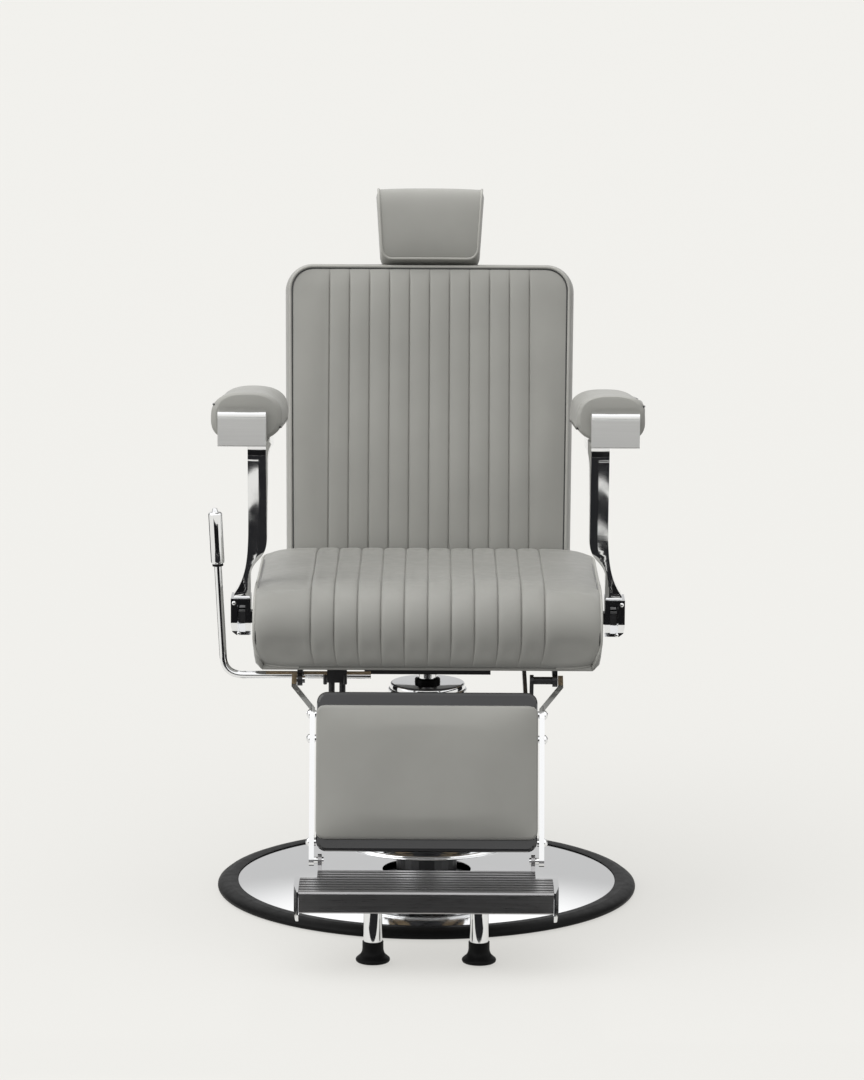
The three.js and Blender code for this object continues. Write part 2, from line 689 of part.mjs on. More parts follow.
// An upright of flat bar on edge, clamped round the tube and bolted to the back's shell.
function backStrap() {
  const [x0, x1] = STRAP_X;
  const [front, top] = [BACK_SHELL_REAR + GAP, 424];
  const rear = front + 20;
  const boss = barX(x0, x1, [0, 0], 20, 20);
  const upright = pushX(outline([
    [-14, 8], [10, -17], [36, -2], [rear, 40], [rear, top - 24], [rear - 8, top], [front, top], [front, 34],
  ]), x0, x1);
  return cut(joined(boss, upright), barX(x0 - PAST, x1 + PAST, [0, 0], BACK_TUBE_R + GAP, 20));
}

function backCushion() {
  const shape = new THREE.Shape();
  const [top, bottom, corner, foot] = [241, 235, 45, 22];
  shape.absarc(top - corner, BACK_HIGH - corner, corner, 0, Math.PI / 2);
  shape.absarc(-top + corner, BACK_HIGH - corner, corner, Math.PI / 2, Math.PI);
  shape.absarc(-bottom + foot, BACK_LOW + foot, foot, Math.PI, 1.5 * Math.PI);
  shape.absarc(bottom - foot, BACK_LOW + foot, foot, 1.5 * Math.PI, 2 * Math.PI);
  return pushY(shape, BACK_FRONT, BACK_REAR, 12, 3);
}

function backShell() {
  const front = BACK_REAR + GAP;
  return pushY(softBox(-228, 228, BACK_LOW + 12, BACK_HIGH - 10, 40), front, BACK_SHELL_REAR, 0, 4);
}

const SLEEVE = { x: 34, y0: BACK_SHELL_REAR + GAP, y1: 64, z0: 390, z1: 540 };
const POST = { x: 21.5, y0: 52, y1: 59 };

function headrestSleeve() {
  const { x, y0, y1, z0, z1 } = SLEEVE;
  const slot = block(-POST.x - RUN, POST.x + RUN, POST.y0 - RUN, POST.y1 + RUN, z0 - PAST, z1 + PAST);
  return cut(block(-x, x, y0, y1, z0, z1), slot);
}

const HEAD_HINGE = [55.5, 628];
const HINGE_PIN_R = 4;

function headrestPost() {
  const { x, y0, y1 } = POST;
  const flat = block(-x, x, y0, y1, 400, 612);
  const earT = 7;
  const ears = [-x, x - earT].map((x0) =>
    pushX(strip([HEAD_HINGE[0], 606], HEAD_HINGE, 3.5, 10), x0, x0 + earT));
  return cut(joined(flat, ...ears), barX(-x - PAST, x + PAST, HEAD_HINGE, HINGE_PIN_R + RUN, 16));
}

// The hinge piece turns between the post's ears and carries the head rest's board.
function headrestHinge() {
  const half = 14;
  const [y, z] = HEAD_HINGE;
  const barrel = barX(-half, half, HEAD_HINGE, 9, 20);
  const pin = barX(-POST.x - 3.5, POST.x + 3.5, HEAD_HINGE, HINGE_PIN_R, 16);
  const arm = block(-half, half, 38, y, z - 7, z + 7);
  const plate = block(-40, 40, 33.5, 38.5, z - 30, z + 30);
  return joined(barrel, pin, arm, plate);
}

function headrestBoard() {
  return pushY(softBox(-80, 80, 582, 680, 14), 25 + GAP, 33.2, 0, 4);
}

// The head pad is wider at its top than at its foot.
function headrestCushion() {
  const [top, bottom, round] = [92, 84, 18];
  const [low, high] = [569 + round, 690 - round];
  const shape = new THREE.Shape();
  shape.absarc(top - round, high, round, 0, Math.PI / 2);
  shape.absarc(-top + round, high, round, Math.PI / 2, Math.PI);
  shape.absarc(-bottom + round, low, round, Math.PI, 1.5 * Math.PI);
  shape.absarc(bottom - round, low, round, 1.5 * Math.PI, 2 * Math.PI);
  return pushY(shape, -60, 25, 12, 3);
}

add(back, "back_pivot_tube", backPivotTube(), BLACK);
for (const [name, side] of SIDES) add(back, `back_strap_${name}`, backStrap(), BLACK, side);
add(back, "back_shell", backShell(), BLACK);
add(back, "back_cushion", backCushion(), LEATHER);
add(back, "headrest_sleeve", headrestSleeve(), CHROME);
add(back, "headrest_post", headrestPost(), CHROME);
add(back, "headrest_hinge", headrestHinge(), CHROME);
add(back, "headrest_board", headrestBoard(), BLACK);
add(back, "headrest_cushion", headrestCushion(), LEATHER);

// ---- rods that follow the back ------------------------------------------------------------------

// The rod of the cylinder ends in an upright slot, so that the crank's pin can rise and fall in it.
function reclineRod() {
  const y = CRANK_PIN[0];
  const half = 6;
  const [x0, x1] = [CYLINDER_X - half, CYLINDER_X + half];
  const rod = bar([CYLINDER_X, 100, ROD_Z], [CYLINDER_X, y - 8, ROD_Z], ROD_R, 16);
  const eye = pushX(strip([y, PIN_LOW], [y, PIN_HIGH], 12), x0, x1);
  const slot = strip([y, PIN_LOW - RUN], [y, PIN_HIGH + RUN], PIN_R + 0.7);
  return cut(joined(rod, eye), pushX(slot, x0 - PAST, x1 + PAST));
}

// The leg rest's lever swings as far forward as the crank does, over its own smaller angle.
const LEG_SWING = (CRANK_TRAVEL * LEG_RATIO) / 2;
const LEG_THROW = (CRANK_R * Math.sin(PIN_SWING)) / Math.sin(LEG_SWING);
const LEG_PIN = [
  LEG_PIVOT[0] + LEG_THROW * Math.sin(LEG_SWING),
  LEG_PIVOT[1] - LEG_THROW * Math.cos(LEG_SWING),
];

function legrestLink() {
  const [x0, x1] = [LINK_X - 3, LINK_X + 3];
  const body = joined(
    pushX(strip(LEG_PIN, CRANK_PIN, 8), x0, x1),
    barX(x0, x1, LEG_PIN, 11),
    barX(x0, x1, CRANK_PIN, 11),
  );
  return cut(
    body,
    barX(x0 - PAST, x1 + PAST, CRANK_PIN, PIN_R + RUN),
    barX(x0 - PAST, x1 + PAST, LEG_PIN, PIN_R + 1.2),
  );
}

add(chair, "recline_rod", reclineRod(), CHROME);
add(chair, "legrest_link", legrestLink(), BLACK);

// ---- leg rest, in its own frame: origin on the pivot, leaning forward ----------------------------

const leg = new THREE.Group();
leg.position.set(0, ...LEG_PIVOT);
leg.rotation.x = -LEG_LEAN;
chair.add(leg);

// A flat bar with a dog-leg in its side view and a joggle in its front view.
function legrestBar() {
  const elbow = [FOOT_PIVOT_LOCAL[0], -62];
  const side = joined(
    pushX(strip(FOOT_PIVOT_LOCAL, elbow, 9), 170, 216),
    pushX(strip(elbow, [0, 0], 8), 170, 216),
  );
  const half = 4;
  const [lowIn, lowOut] = [half - BAR_X, -half - BAR_X];
  const [topIn, topOut] = [half - BAR_TOP_X, -half - BAR_TOP_X];
  const view = outline([
    [lowIn, -300], [lowIn, -48], [topIn, -10], [topIn, 12],
    [topOut, 12], [topOut, -13], [lowOut, -51], [lowOut, -300],
  ]);
  const flat = side.intersect(pushY(view, -90, 20));
  const y = elbow[0];
  const heads = [-58, -96, -256].map((z) => joined(
    bar([BAR_X + 3, y, z], [BAR_X + 6.5, y, z], 7, 12, 6.5),
    bar([BAR_X + 6.4, y, z], [BAR_X + 9, y, z], 6.5, 12, 3),
    barX(SHELL_HALF + GAP, BAR_X, [y, z], 6, 12),
  ));
  const stud = barX(TREAD_BACK_HALF - 9, BAR_X, FOOT_PIVOT_LOCAL, PIN_R, 16);
  return joined(flat, ...heads, stud);
}

// The left bar turns on the lever's shaft, the right bar on a stud of its own.
function legrestBarRight() {
  return joined(legrestBar(), barX(RAIL_X - 4, BAR_TOP_X, [0, 0], LEG_STUD_R, 16));
}

// The lever's arm and its pin, drawn in the leg rest's frame, with the shaft through the rail.
function legrestLever() {
  const angle = LEG_SWING + LEG_LEAN;
  const pin = [LEG_THROW * Math.sin(angle), -LEG_THROW * Math.cos(angle)];
  const [x0, x1] = [LINK_X + 3.6, LINK_X + 9.6];
  return joined(
    pushX(strip([0, 0], pin, 9, 8), x0, x1),
    barX(LINK_X - 5, x1, pin, PIN_R, 16),
    barX(x0, BAR_TOP_X - 4 - GAP, [0, 0], LEG_STUD_R, 16),
  );
}

function legrestShell() {
  const view = softBox(-SHELL_HALF, SHELL_HALF, SHELL_LOW, SHELL_TOP, 16);
  return pushY(view, SHELL_FACE, SHELL_FACE + SHELL_T, 5, 3);
}

function legrestPad() {
  const face = SHELL_FACE - GAP;
  const [half, thick] = [170, 28];
  return pushY(softBox(-half, half, SHELL_LOW + 12, SHELL_TOP - 16, 20), face - thick, face, 10, 3);
}

for (const [name, side] of SIDES) {
  const body = side > 0 ? legrestBar() : legrestBarRight();
  add(leg, `legrest_bar_${name}`, body, CHROME, side);
}
add(leg, "legrest_lever", legrestLever(), BLACK);
add(leg, "legrest_shell", legrestShell(), BLACK);
add(leg, "legrest_pad", legrestPad(), LEATHER);

// ---- foot plate ---------------------------------------------------------------------------------

// The ribbed top as one outline: a groove between each pair of ribs.
function ribbedTop(y0, y1) {
  const [slabLow, groove, rib] = [TREAD_TOP - TREAD_THICK, TREAD_TOP - 3, 9];
  const points = [[y1, slabLow], [y1, groove]];
  for (let y = y1 - 3; y - rib > y0; y -= RIB_PITCH) {
    points.push([y, groove], [y, TREAD_TOP], [y - rib, TREAD_TOP], [y - rib, groove]);
  }
  points.push([y0, groove], [y0, slabLow]);
  return outline(points);
}

function footplateTread() {
  const wide = pushX(ribbedTop(TREAD_FRONT + 4, TREAD_STEP), -TREAD_HALF, TREAD_HALF);
  const narrow = pushX(ribbedTop(TREAD_STEP - PAST, TREAD_REAR), -TREAD_BACK_HALF, TREAD_BACK_HALF);
  const front = softBox(TREAD_FRONT, TREAD_FRONT + 8, FASCIA_LOW, TREAD_TOP + 1, 3.9);
  const fascia = pushX(front, -TREAD_HALF, TREAD_HALF, 0, 4);
  const web = outline([[-414, TREAD_TOP - 6], [-405.2, 138], [-387, 138], [TREAD_REAR, TREAD_TOP - 11]]);
  const lugs = [LUG_X, [-LUG_X[1], -LUG_X[0]]].map(([x0, x1]) =>
    joined(pushX(web, x0, x1), barX(x0, x1, FOOT_PIVOT, 9.5)));
  const holes = barX(-BAR_X, BAR_X, FOOT_PIVOT, PIN_R + RUN, 16);
  const { radius, high } = FOOT_TUBE;
  const sockets = [-FOOT_X, FOOT_X].map((x) =>
    bar([x, FOOT_Y, FASCIA_LOW], [x, FOOT_Y, high], radius + GAP, 18));
  return cut(joined(wide, narrow, fascia, ...lugs), holes, ...sockets);
}

// A cast end piece that closes the tread's side and runs down into a short tail.
function footplateCap() {
  const [inner, outer] = [TREAD_HALF + GAP, TREAD_HALF + GAP + 8];
  const [front, top, low] = [TREAD_FRONT - 1, TREAD_TOP + 1, 82];
  const plan = outline([
    [inner, front], [inner + 2.5, front], [outer, -505], [outer, TREAD_STEP], [inner, TREAD_STEP],
  ]);
  const side = outline([
    [front, top], [front, 96], [-540, low + 2], [-526, low], [TREAD_STEP, 116], [TREAD_STEP, top],
  ]);
  return pushZ(plan, low - PAST, top).intersect(pushX(side, inner - PAST, outer + PAST));
}

function footCup() {
  const [floor, collarR, collarTop] = [3, 16, 36];
  const bore = FOOT_TUBE.radius + GAP;
  return spin([
    [0, floor], [24, floor], [26.5, 7], [25.5, 11], [18, 17], [collarR, 24],
    [collarR, collarTop], [bore, collarTop], [bore, FOOT_TUBE.low], [0, FOOT_TUBE.low],
  ], 18, FOOT_X, FOOT_Y);
}

function footTube() {
  const { radius, low, high } = FOOT_TUBE;
  return bar([FOOT_X, FOOT_Y, low + GAP], [FOOT_X, FOOT_Y, high - GAP], radius, 18);
}

add(chair, "footplate_tread", footplateTread(), ALUMINIUM);
for (const [name, side] of SIDES) {
  add(chair, `footplate_cap_${name}`, footplateCap(), CHROME, side);
  add(chair, `footplate_tube_${name}`, footTube(), CHROME, side);
  add(chair, `footplate_foot_${name}`, footCup(), RUBBER, side);
}

export default chair;
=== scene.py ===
"""A hydraulic barber chair: its visual model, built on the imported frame.

Metres, +Z up, the sitter faces -Y and +X is on the sitter's left. Lengths in the tables below are in
millimetres and are turned into metres where a mesh is made.
"""

import json
import math

import bmesh
import bpy
import numpy as np
from mathutils import Matrix, Vector, noise


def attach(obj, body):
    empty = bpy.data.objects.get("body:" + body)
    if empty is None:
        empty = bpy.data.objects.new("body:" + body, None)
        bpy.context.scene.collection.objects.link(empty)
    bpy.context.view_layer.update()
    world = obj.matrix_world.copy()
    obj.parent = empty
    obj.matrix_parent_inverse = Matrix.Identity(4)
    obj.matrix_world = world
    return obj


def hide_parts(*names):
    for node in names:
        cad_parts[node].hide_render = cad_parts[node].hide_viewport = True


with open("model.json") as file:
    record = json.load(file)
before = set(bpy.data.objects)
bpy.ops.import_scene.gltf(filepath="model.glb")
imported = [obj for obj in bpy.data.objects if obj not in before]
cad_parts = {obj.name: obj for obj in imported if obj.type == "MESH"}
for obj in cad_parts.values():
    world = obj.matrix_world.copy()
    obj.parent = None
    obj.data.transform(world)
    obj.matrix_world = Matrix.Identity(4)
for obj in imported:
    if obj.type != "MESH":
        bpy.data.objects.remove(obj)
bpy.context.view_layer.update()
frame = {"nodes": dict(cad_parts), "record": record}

MM = 0.001
NODES = frame["nodes"]
SIDES = (("left", 1), ("right", -1))
SLOT_OF = {part["node"]: part["material_slot"] for part in frame["record"]["subparts"]}


# ---- materials ------------------------------------------------------------------------------------


def add_node(tree, kind, **settings):
    made = tree.nodes.new(kind)
    for name, value in settings.items():
        setattr(made, name, value)
    return made


class Paint:
    """A node material with a few shortcuts for its Principled shader."""

    def __init__(self, name, color, metallic=0.0, roughness=0.5):
        self.material = bpy.data.materials.new(name)
        self.material.use_nodes = True
        self.tree = self.material.node_tree
        self.shader = self.tree.nodes["Principled BSDF"]
        self.shader.inputs["Base Color"].default_value = (*color, 1)
        self.shader.inputs["Metallic"].default_value = metallic
        self.shader.inputs["Roughness"].default_value = roughness
        self.place = self.tree.nodes.new("ShaderNodeTexCoord").outputs["Object"]

    def fixed(self, **values):
        for name, value in values.items():
            self.shader.inputs[name.replace("_", " ")].default_value = value
        return self

    def node(self, kind, **settings):
        return add_node(self.tree, kind, **settings)

    def join(self, source, target):
        self.tree.links.new(source, target)

    def stretched(self, scale):
        mapping = self.node("ShaderNodeMapping")
        mapping.inputs["Scale"].default_value = scale
        self.join(self.place, mapping.inputs["Vector"])
        return mapping.outputs["Vector"]

    def grain(self, scale, detail=4.0, stretch=(1, 1, 1)):
        """Noise whose grains are about 1/scale metres wide."""
        made = self.node("ShaderNodeTexNoise")
        made.inputs["Scale"].default_value = scale
        made.inputs["Detail"].default_value = detail
        self.join(self.stretched(stretch), made.inputs["Vector"])
        return made.outputs["Fac"]

    def cells(self, scale):
        made = self.node("ShaderNodeTexVoronoi", feature="DISTANCE_TO_EDGE")
        made.inputs["Scale"].default_value = scale
        self.join(self.place, made.inputs["Vector"])
        return made.outputs["Distance"]

    def spread(self, value, low, high, start=0.3, stop=0.7):
        """A noise value mapped from start..stop to low..high."""
        made = self.node("ShaderNodeMapRange")
        for name, number in (("From Min", start), ("From Max", stop), ("To Min", low), ("To Max", high)):
            made.inputs[name].default_value = number
        self.join(value, made.inputs["Value"])
        return made.outputs["Result"]

    def rough(self, value, low, high):
        self.join(self.spread(value, low, high), self.shader.inputs["Roughness"])

    def tint(self, value, dark, light):
        ramp = self.node("ShaderNodeValToRGB")
        ramp.color_ramp.elements[0].position = 0.3
        ramp.color_ramp.elements[0].color = (*dark, 1)
        ramp.color_ramp.elements[1].position = 0.7
        ramp.color_ramp.elements[1].color = (*light, 1)
        self.join(value, ramp.inputs["Fac"])
        self.join(ramp.outputs["Color"], self.shader.inputs["Base Color"])

    def bumps(self, *layers):
        """Each layer is (height value, strength, depth in metres)."""
        below = None
        for height, strength, depth in layers:
            made = self.node("ShaderNodeBump")
            made.inputs["Strength"].default_value = strength
            made.inputs["Distance"].default_value = depth
            self.join(height, made.inputs["Height"])
            if below is not None:
                self.join(below, made.inputs["Normal"])
            below = made.outputs["Normal"]
        self.join(below, self.shader.inputs["Normal"])


def shade(color, factor):
    return tuple(channel * factor for channel in color)


def leather(name, color):
    """Smooth-grain leather: fine pebbles, finer pores, and a broad drift of tone."""
    paint = Paint(name, color, roughness=0.45)
    paint.tint(paint.grain(9, 3), shade(color, 0.95), shade(color, 1.05))
    paint.rough(paint.grain(60, 4), 0.42, 0.54)
    paint.bumps((paint.cells(1000), 0.16, 0.0002), (paint.grain(2600, 2), 0.1, 0.0001))
    paint.fixed(Sheen_Weight=0.12, Sheen_Roughness=0.5, Specular_IOR_Level=0.42)
    return paint.material


def polished(name, color):
    """Chrome plate with faint smudges and hairlines."""
    paint = Paint(name, color, metallic=1, roughness=0.05)
    paint.rough(paint.grain(35, 5), 0.025, 0.085)
    paint.bumps((paint.grain(260, 2, (1, 1, 0.15)), 0.02, 0.0001))
    return paint.material


def brushed(name, color, stretch, low=0.24, high=0.38, depth=0.00006, tones=(0.9, 1.08)):
    """Metal with fine lines along the axis that stretch leaves long."""
    paint = Paint(name, color, metallic=1, roughness=0.3)
    lines = paint.grain(1800, 3, stretch)
    paint.rough(lines, low, high)
    paint.tint(paint.grain(500, 3, stretch), shade(color, tones[0]), shade(color, tones[1]))
    paint.bumps((lines, 0.35, depth))
    return paint.material


def painted(name, color, roughness=0.4):
    """Powder coat: a fine orange peel."""
    paint = Paint(name, color, metallic=0.15, roughness=roughness)
    paint.rough(paint.grain(120, 3), roughness - 0.06, roughness + 0.08)
    paint.tint(paint.grain(25, 3), shade(color, 0.85), shade(color, 1.2))
    paint.bumps((paint.grain(1500, 2), 0.25, 0.00012))
    return paint.material


def gloss(name, color):
    """A polished black moulding with light handling marks."""
    paint = Paint(name, color, roughness=0.12)
    paint.rough(paint.grain(45, 5), 0.09, 0.18)
    paint.bumps((paint.grain(18, 2), 0.05, 0.0006))
    paint.fixed(Coat_Weight=0.5, Coat_Roughness=0.06, Specular_IOR_Level=0.5)
    return paint.material


def rubbery(name, color):
    paint = Paint(name, color, roughness=0.5)
    paint.rough(paint.grain(70, 4), 0.4, 0.5)
    paint.tint(paint.grain(40, 4), shade(color, 0.9), shade(color, 1.1))
    paint.bumps((paint.grain(1900, 2), 0.2, 0.0001))
    paint.fixed(Specular_IOR_Level=0.09)
    return paint.material


def plywood(name, color):
    """Layers across the thickness, with a long grain along X."""
    paint = Paint(name, color, roughness=0.65)
    plies = paint.node("ShaderNodeTexWave", wave_type="BANDS", bands_direction="Z")
    plies.inputs["Scale"].default_value = 120
    plies.inputs["Distortion"].default_value = 1.5
    paint.join(paint.place, plies.inputs["Vector"])
    paint.tint(plies.outputs["Fac"], shade(color, 0.62), shade(color, 1.1))
    fibres = paint.grain(260, 5, (0.06, 1, 1))
    paint.rough(fibres, 0.55, 0.8)
    paint.bumps((fibres, 0.3, 0.0003))
    return paint.material


def cast(name, color):
    paint = Paint(name, color, metallic=0.5, roughness=0.6)
    paint.rough(paint.grain(90, 5), 0.5, 0.8)
    paint.tint(paint.grain(30, 5), shade(color, 0.7), shade(color, 1.3))
    paint.bumps((paint.grain(420, 4), 0.6, 0.0006))
    return paint.material


GREY_LEATHER = (0.292, 0.289, 0.266)
MATERIALS = {
    "upholstery": leather("upholstery_leather", GREY_LEATHER),
    "chrome": polished("chrome_plate", (0.86, 0.865, 0.87)),
    "satin_steel": brushed("satin_steel", (0.72, 0.72, 0.71), (0.02, 1, 1), 0.34, 0.42, 0.00001,
                           (0.975, 1.02)),
    "plain_steel": brushed("turned_steel", (0.56, 0.57, 0.58), (1, 1, 0.05)),
    "tread_aluminium": brushed("anodised_tread", (0.37, 0.366, 0.37), (0.015, 1, 1), 0.26, 0.38, 0.00005),
    "frame_black": painted("powder_coat", (0.018, 0.018, 0.02)),
    "shell_black": gloss("black_moulding", (0.012, 0.012, 0.013)),
    "rubber": rubbery("satin_rubber", (0.005, 0.005, 0.005)),
    "plywood": plywood("plywood_board", (0.45, 0.33, 0.19)),
    "cast_iron": cast("cast_weight", (0.06, 0.06, 0.065)),
}
# Painted shade: the grey leather made 12% darker for the seat and the leg rest pad, to tone down the light
# their front faces catch.
SHADED_SEAT_LEATHER = leather("seat_leather_painted_shade", shade(GREY_LEATHER, 0.88))
# Painted highlight: the welts are the grey leather made 25% lighter, standing in for the light line along
# the piping.
WELT_PAINTED_HIGHLIGHT = leather("upholstery_welt_painted_highlight", shade(GREY_LEATHER, 1.25))
TRIM = gloss("piping_trim", (0.01, 0.01, 0.01))


# ---- mesh helpers ---------------------------------------------------------------------------------


def add_object(name, data):
    obj = bpy.data.objects.new(name, data)
    bpy.context.scene.collection.objects.link(obj)
    return obj


def linked(name, mesh, material, smooth=35):
    obj = add_object(name, mesh)
    mesh.materials.append(material)
    mesh.polygons.foreach_set("use_smooth", [True] * len(mesh.polygons))
    if smooth:
        mesh.set_sharp_from_angle(angle=math.radians(smooth))
    return obj


def mended(mesh, nearest, dissolve=0.0):
    """Merges double points, drops empty faces if dissolve is given and turns the faces outwards."""
    work = bmesh.new()
    work.from_mesh(mesh)
    bmesh.ops.remove_doubles(work, verts=work.verts, dist=nearest)
    if dissolve:
        bmesh.ops.dissolve_degenerate(work, dist=dissolve, edges=work.edges)
    bmesh.ops.recalc_face_normals(work, faces=work.faces)
    work.to_mesh(mesh)
    work.free()
    return mesh


def in_metres(name, points, faces):
    mesh = bpy.data.meshes.new(name)
    mesh.from_pydata([tuple(np.asarray(p, float) * MM) for p in points], [], faces)
    return mesh


def from_faces(name, points, faces, material, smooth=35):
    """A mesh from points in millimetres, with its faces turned outwards."""
    return linked(name, mended(in_metres(name, points, faces), 1e-6), material, smooth)


def ring_faces(rings, sides, closed):
    """Quads between rings of points laid one after another, with end caps unless closed."""
    faces = []
    for k in range(rings if closed else rings - 1):
        a, b = k * sides, ((k + 1) % rings) * sides
        faces += [(a + i, a + (i + 1) % sides, b + (i + 1) % sides, b + i) for i in range(sides)]
    if not closed:
        faces.append(tuple(range(sides))[::-1])
        faces.append(tuple((rings - 1) * sides + i for i in range(sides)))
    return faces


def lathe(name, profile, material, x=0.0, y=0.0, steps=128, axis=None):
    """A closed profile of [radius, z] turned about an upright line, or about axis = (foot, direction)."""
    angles = [2 * math.pi * k / steps for k in range(steps)]
    points = [(r * math.cos(a), r * math.sin(a), z) for a in angles for r, z in profile]
    count = len(profile)
    faces = []
    for k in range(steps):
        a, b = k * count, ((k + 1) % steps) * count
        for i in range(count):
            j = (i + 1) % count
            if profile[i][0] > 0 or profile[j][0] > 0:
                faces.append((a + i, b + i, b + j, a + j))
    if axis is not None:
        foot, direction = axis
        turn = Vector((0, 0, 1)).rotation_difference(Vector(direction).normalized())
        points = [Vector(foot) + turn @ Vector(p) for p in points]
    else:
        points = [(px + x, py + y, pz) for px, py, pz in points]
    return linked(name, mended(in_metres(name, points, faces), 1e-7, 1e-8), material, 32)


def tube(name, path, radius, material, closed=False, sides=12, normals=None):
    """A round tube along a path in millimetres. normals, where given, fix each section's first spoke."""
    path = [Vector(p) for p in path]
    count = len(path)
    spoke = None
    points = []
    for k, here in enumerate(path):
        before = path[k - 1] if closed or k > 0 else here
        after = path[(k + 1) % count] if closed or k < count - 1 else here
        along = (after - before).normalized()
        if normals is not None:
            spoke = Vector(normals[k])
        elif spoke is None:
            spoke = along.orthogonal()
        spoke = (spoke - along * spoke.dot(along)).normalized()
        other = along.cross(spoke)
        for i in range(sides):
            a = 2 * math.pi * i / sides
            points.append(here + radius * (math.cos(a) * spoke + math.sin(a) * other))
    return from_faces(name, points, ring_faces(count, sides, closed), material, 40)


def bezier(start, first, second, end, steps):
    """Points of a cubic curve after its start."""
    found = []
    for k in range(1, steps + 1):
        t = k / steps
        weights = ((1 - t) ** 3, 3 * t * (1 - t) ** 2, 3 * t * t * (1 - t), t ** 3)
        found.append(sum(w * np.array(p, float) for w, p in zip(weights, (start, first, second, end))))
    return found


def prism(name, outline, axis, low, high, material):
    """A flat outline pushed along an axis: (y, z) along X, or (x, z) along Y."""
    place = {
        "x": lambda a, b, c: (c, a, b),
        "y": lambda a, b, c: (a, c, b),
    }[axis]
    points = [place(a, b, c) for c in (low, high) for a, b in outline]
    return from_faces(name, points, ring_faces(2, len(outline), False), material, 0)


def add_bevel(obj, width, segments=2, angle=32):
    made = obj.modifiers.new("edges", "BEVEL")
    made.width = width * MM
    made.segments = segments
    made.limit_method = "ANGLE"
    made.angle_limit = math.radians(angle)


def baked(obj):
    """Replaces an object's mesh by what its modifiers make of it."""
    bpy.context.view_layer.update()
    seen = obj.evaluated_get(bpy.context.evaluated_depsgraph_get())
    mesh = bpy.data.meshes.new_from_object(seen)
    obj.modifiers.clear()
    obj.data = mesh
    return obj


def smooth_group():
    """A node modifier that shades smooth across edges flatter than an angle."""
    group = bpy.data.node_groups.new("soft_shading", "GeometryNodeTree")
    group.interface.new_socket("Geometry", in_out="INPUT", socket_type="NodeSocketGeometry")
    group.interface.new_socket("Geometry", in_out="OUTPUT", socket_type="NodeSocketGeometry")
    start = add_node(group, "NodeGroupInput")
    stop = add_node(group, "NodeGroupOutput")
    faces = add_node(group, "GeometryNodeSetShadeSmooth")
    edges = add_node(group, "GeometryNodeSetShadeSmooth", domain="EDGE")
    angle = add_node(group, "GeometryNodeInputMeshEdgeAngle")
    flat = add_node(group, "FunctionNodeCompare", operation="LESS_EQUAL")
    flat.inputs["B"].default_value = math.radians(34)
    group.links.new(start.outputs[0], faces.inputs["Geometry"])
    group.links.new(faces.outputs[0], edges.inputs["Geometry"])
    group.links.new(angle.outputs["Unsigned Angle"], flat.inputs["A"])
    group.links.new(flat.outputs[0], edges.inputs["Shade Smooth"])
    group.links.new(edges.outputs[0], stop.inputs[0])
    return group


SOFT_SHADING = smooth_group()


def dress(node, bevel=0.5):
    """A CAD node keeps its mesh, and gets its finish, small worn edges and soft shading."""
    obj = NODES[node]
    obj.data.materials.clear()
    obj.data.materials.append(MATERIALS[SLOT_OF[node]])
    if bevel:
        add_bevel(obj, bevel)
    made = obj.modifiers.new("shading", "NODES")
    made.node_group = SOFT_SHADING


def settle(obj, body, slot, *nodes):
    """A finished piece rides its body and stands for CAD nodes. The slot argument is not used."""
    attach(obj, body)
    if nodes:
        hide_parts(*nodes)
    return obj


def turned(name, profile, body, slot, *nodes, **shape):
    """A lathed piece in the finish of its slot."""
    return settle(lathe(name, profile, MATERIALS[slot], **shape), body, slot, *nodes)


# ---- frames of the leaning groups -----------------------------------------------------------------


def leaning(pivot, degrees):
    """Turns points of a group that leans about X at a pivot (y, z) into the row frame, in millimetres."""
    turn = Matrix.Rotation(math.radians(degrees), 3, "X")

    def place(p):
        return turn @ Vector(p) + Vector((0, *pivot))

    return place


BACK = leaning((245, 425), -15)
LEG = leaning((-258, 400), -16)


def level(p):
    return Vector(p)


# ---- quilted cushions -----------------------------------------------------------------------------

SHEET_FRAMES = 20
SHEET_ROWS = 56
BAND_STEPS = 10
COLUMN_GAP = 0.35  # columns closer than this are left out
SEAM_FOLD = 2.2  # depth of the fold in a sewn seam
SEAM_HALF = 0.8  # half its width
BAND_FULL = 28  # depth from which a cushion's band swells fully


def relaxed(points, faces, pinned, cap, pressure=4.0):
    """Blows a sheet out between its pinned points with the cloth solver. Returns the points' moves."""
    obj = add_object("sheet", in_metres("sheet", points, faces))
    group = obj.vertex_groups.new(name="pinned")
    group.add([int(i) for i in pinned], 1.0, "REPLACE")
    cloth = obj.modifiers.new("cloth", "CLOTH")
    cloth.settings.vertex_group_mass = "pinned"
    cloth.settings.quality = 5
    cloth.settings.use_pressure = True
    cloth.settings.uniform_pressure_force = pressure
    cloth.settings.effector_weights.gravity = 0
    cloth.point_cache.frame_start = 1
    cloth.point_cache.frame_end = SHEET_FRAMES
    scene = bpy.context.scene
    for step in range(1, SHEET_FRAMES + 1):
        scene.frame_set(step)
    seen = obj.evaluated_get(bpy.context.evaluated_depsgraph_get())
    moved = np.array([v.co for v in seen.data.vertices]) / MM - np.array([tuple(p) for p in points])
    scene.frame_set(1)
    bpy.data.objects.remove(obj)
    reach = np.linalg.norm(moved, axis=1, keepdims=True)
    return moved * np.minimum(1, cap / np.maximum(reach, 1e-9))


def grid_faces(wide, tall, start=0):
    corners = [start + i * tall + j for i in range(wide - 1) for j in range(tall - 1)]
    return [(k, k + tall, k + tall + 1, k + 1) for k in corners]


def loop_of(wide, tall):
    """The grid's border as (column, row) pairs, once round."""
    return (
        [(i, 0) for i in range(wide - 1)]
        + [(wide - 1, j) for j in range(tall - 1)]
        + [(i, tall - 1) for i in range(wide - 1, 0, -1)]
        + [(0, j) for j in range(tall - 1, 0, -1)]
    )


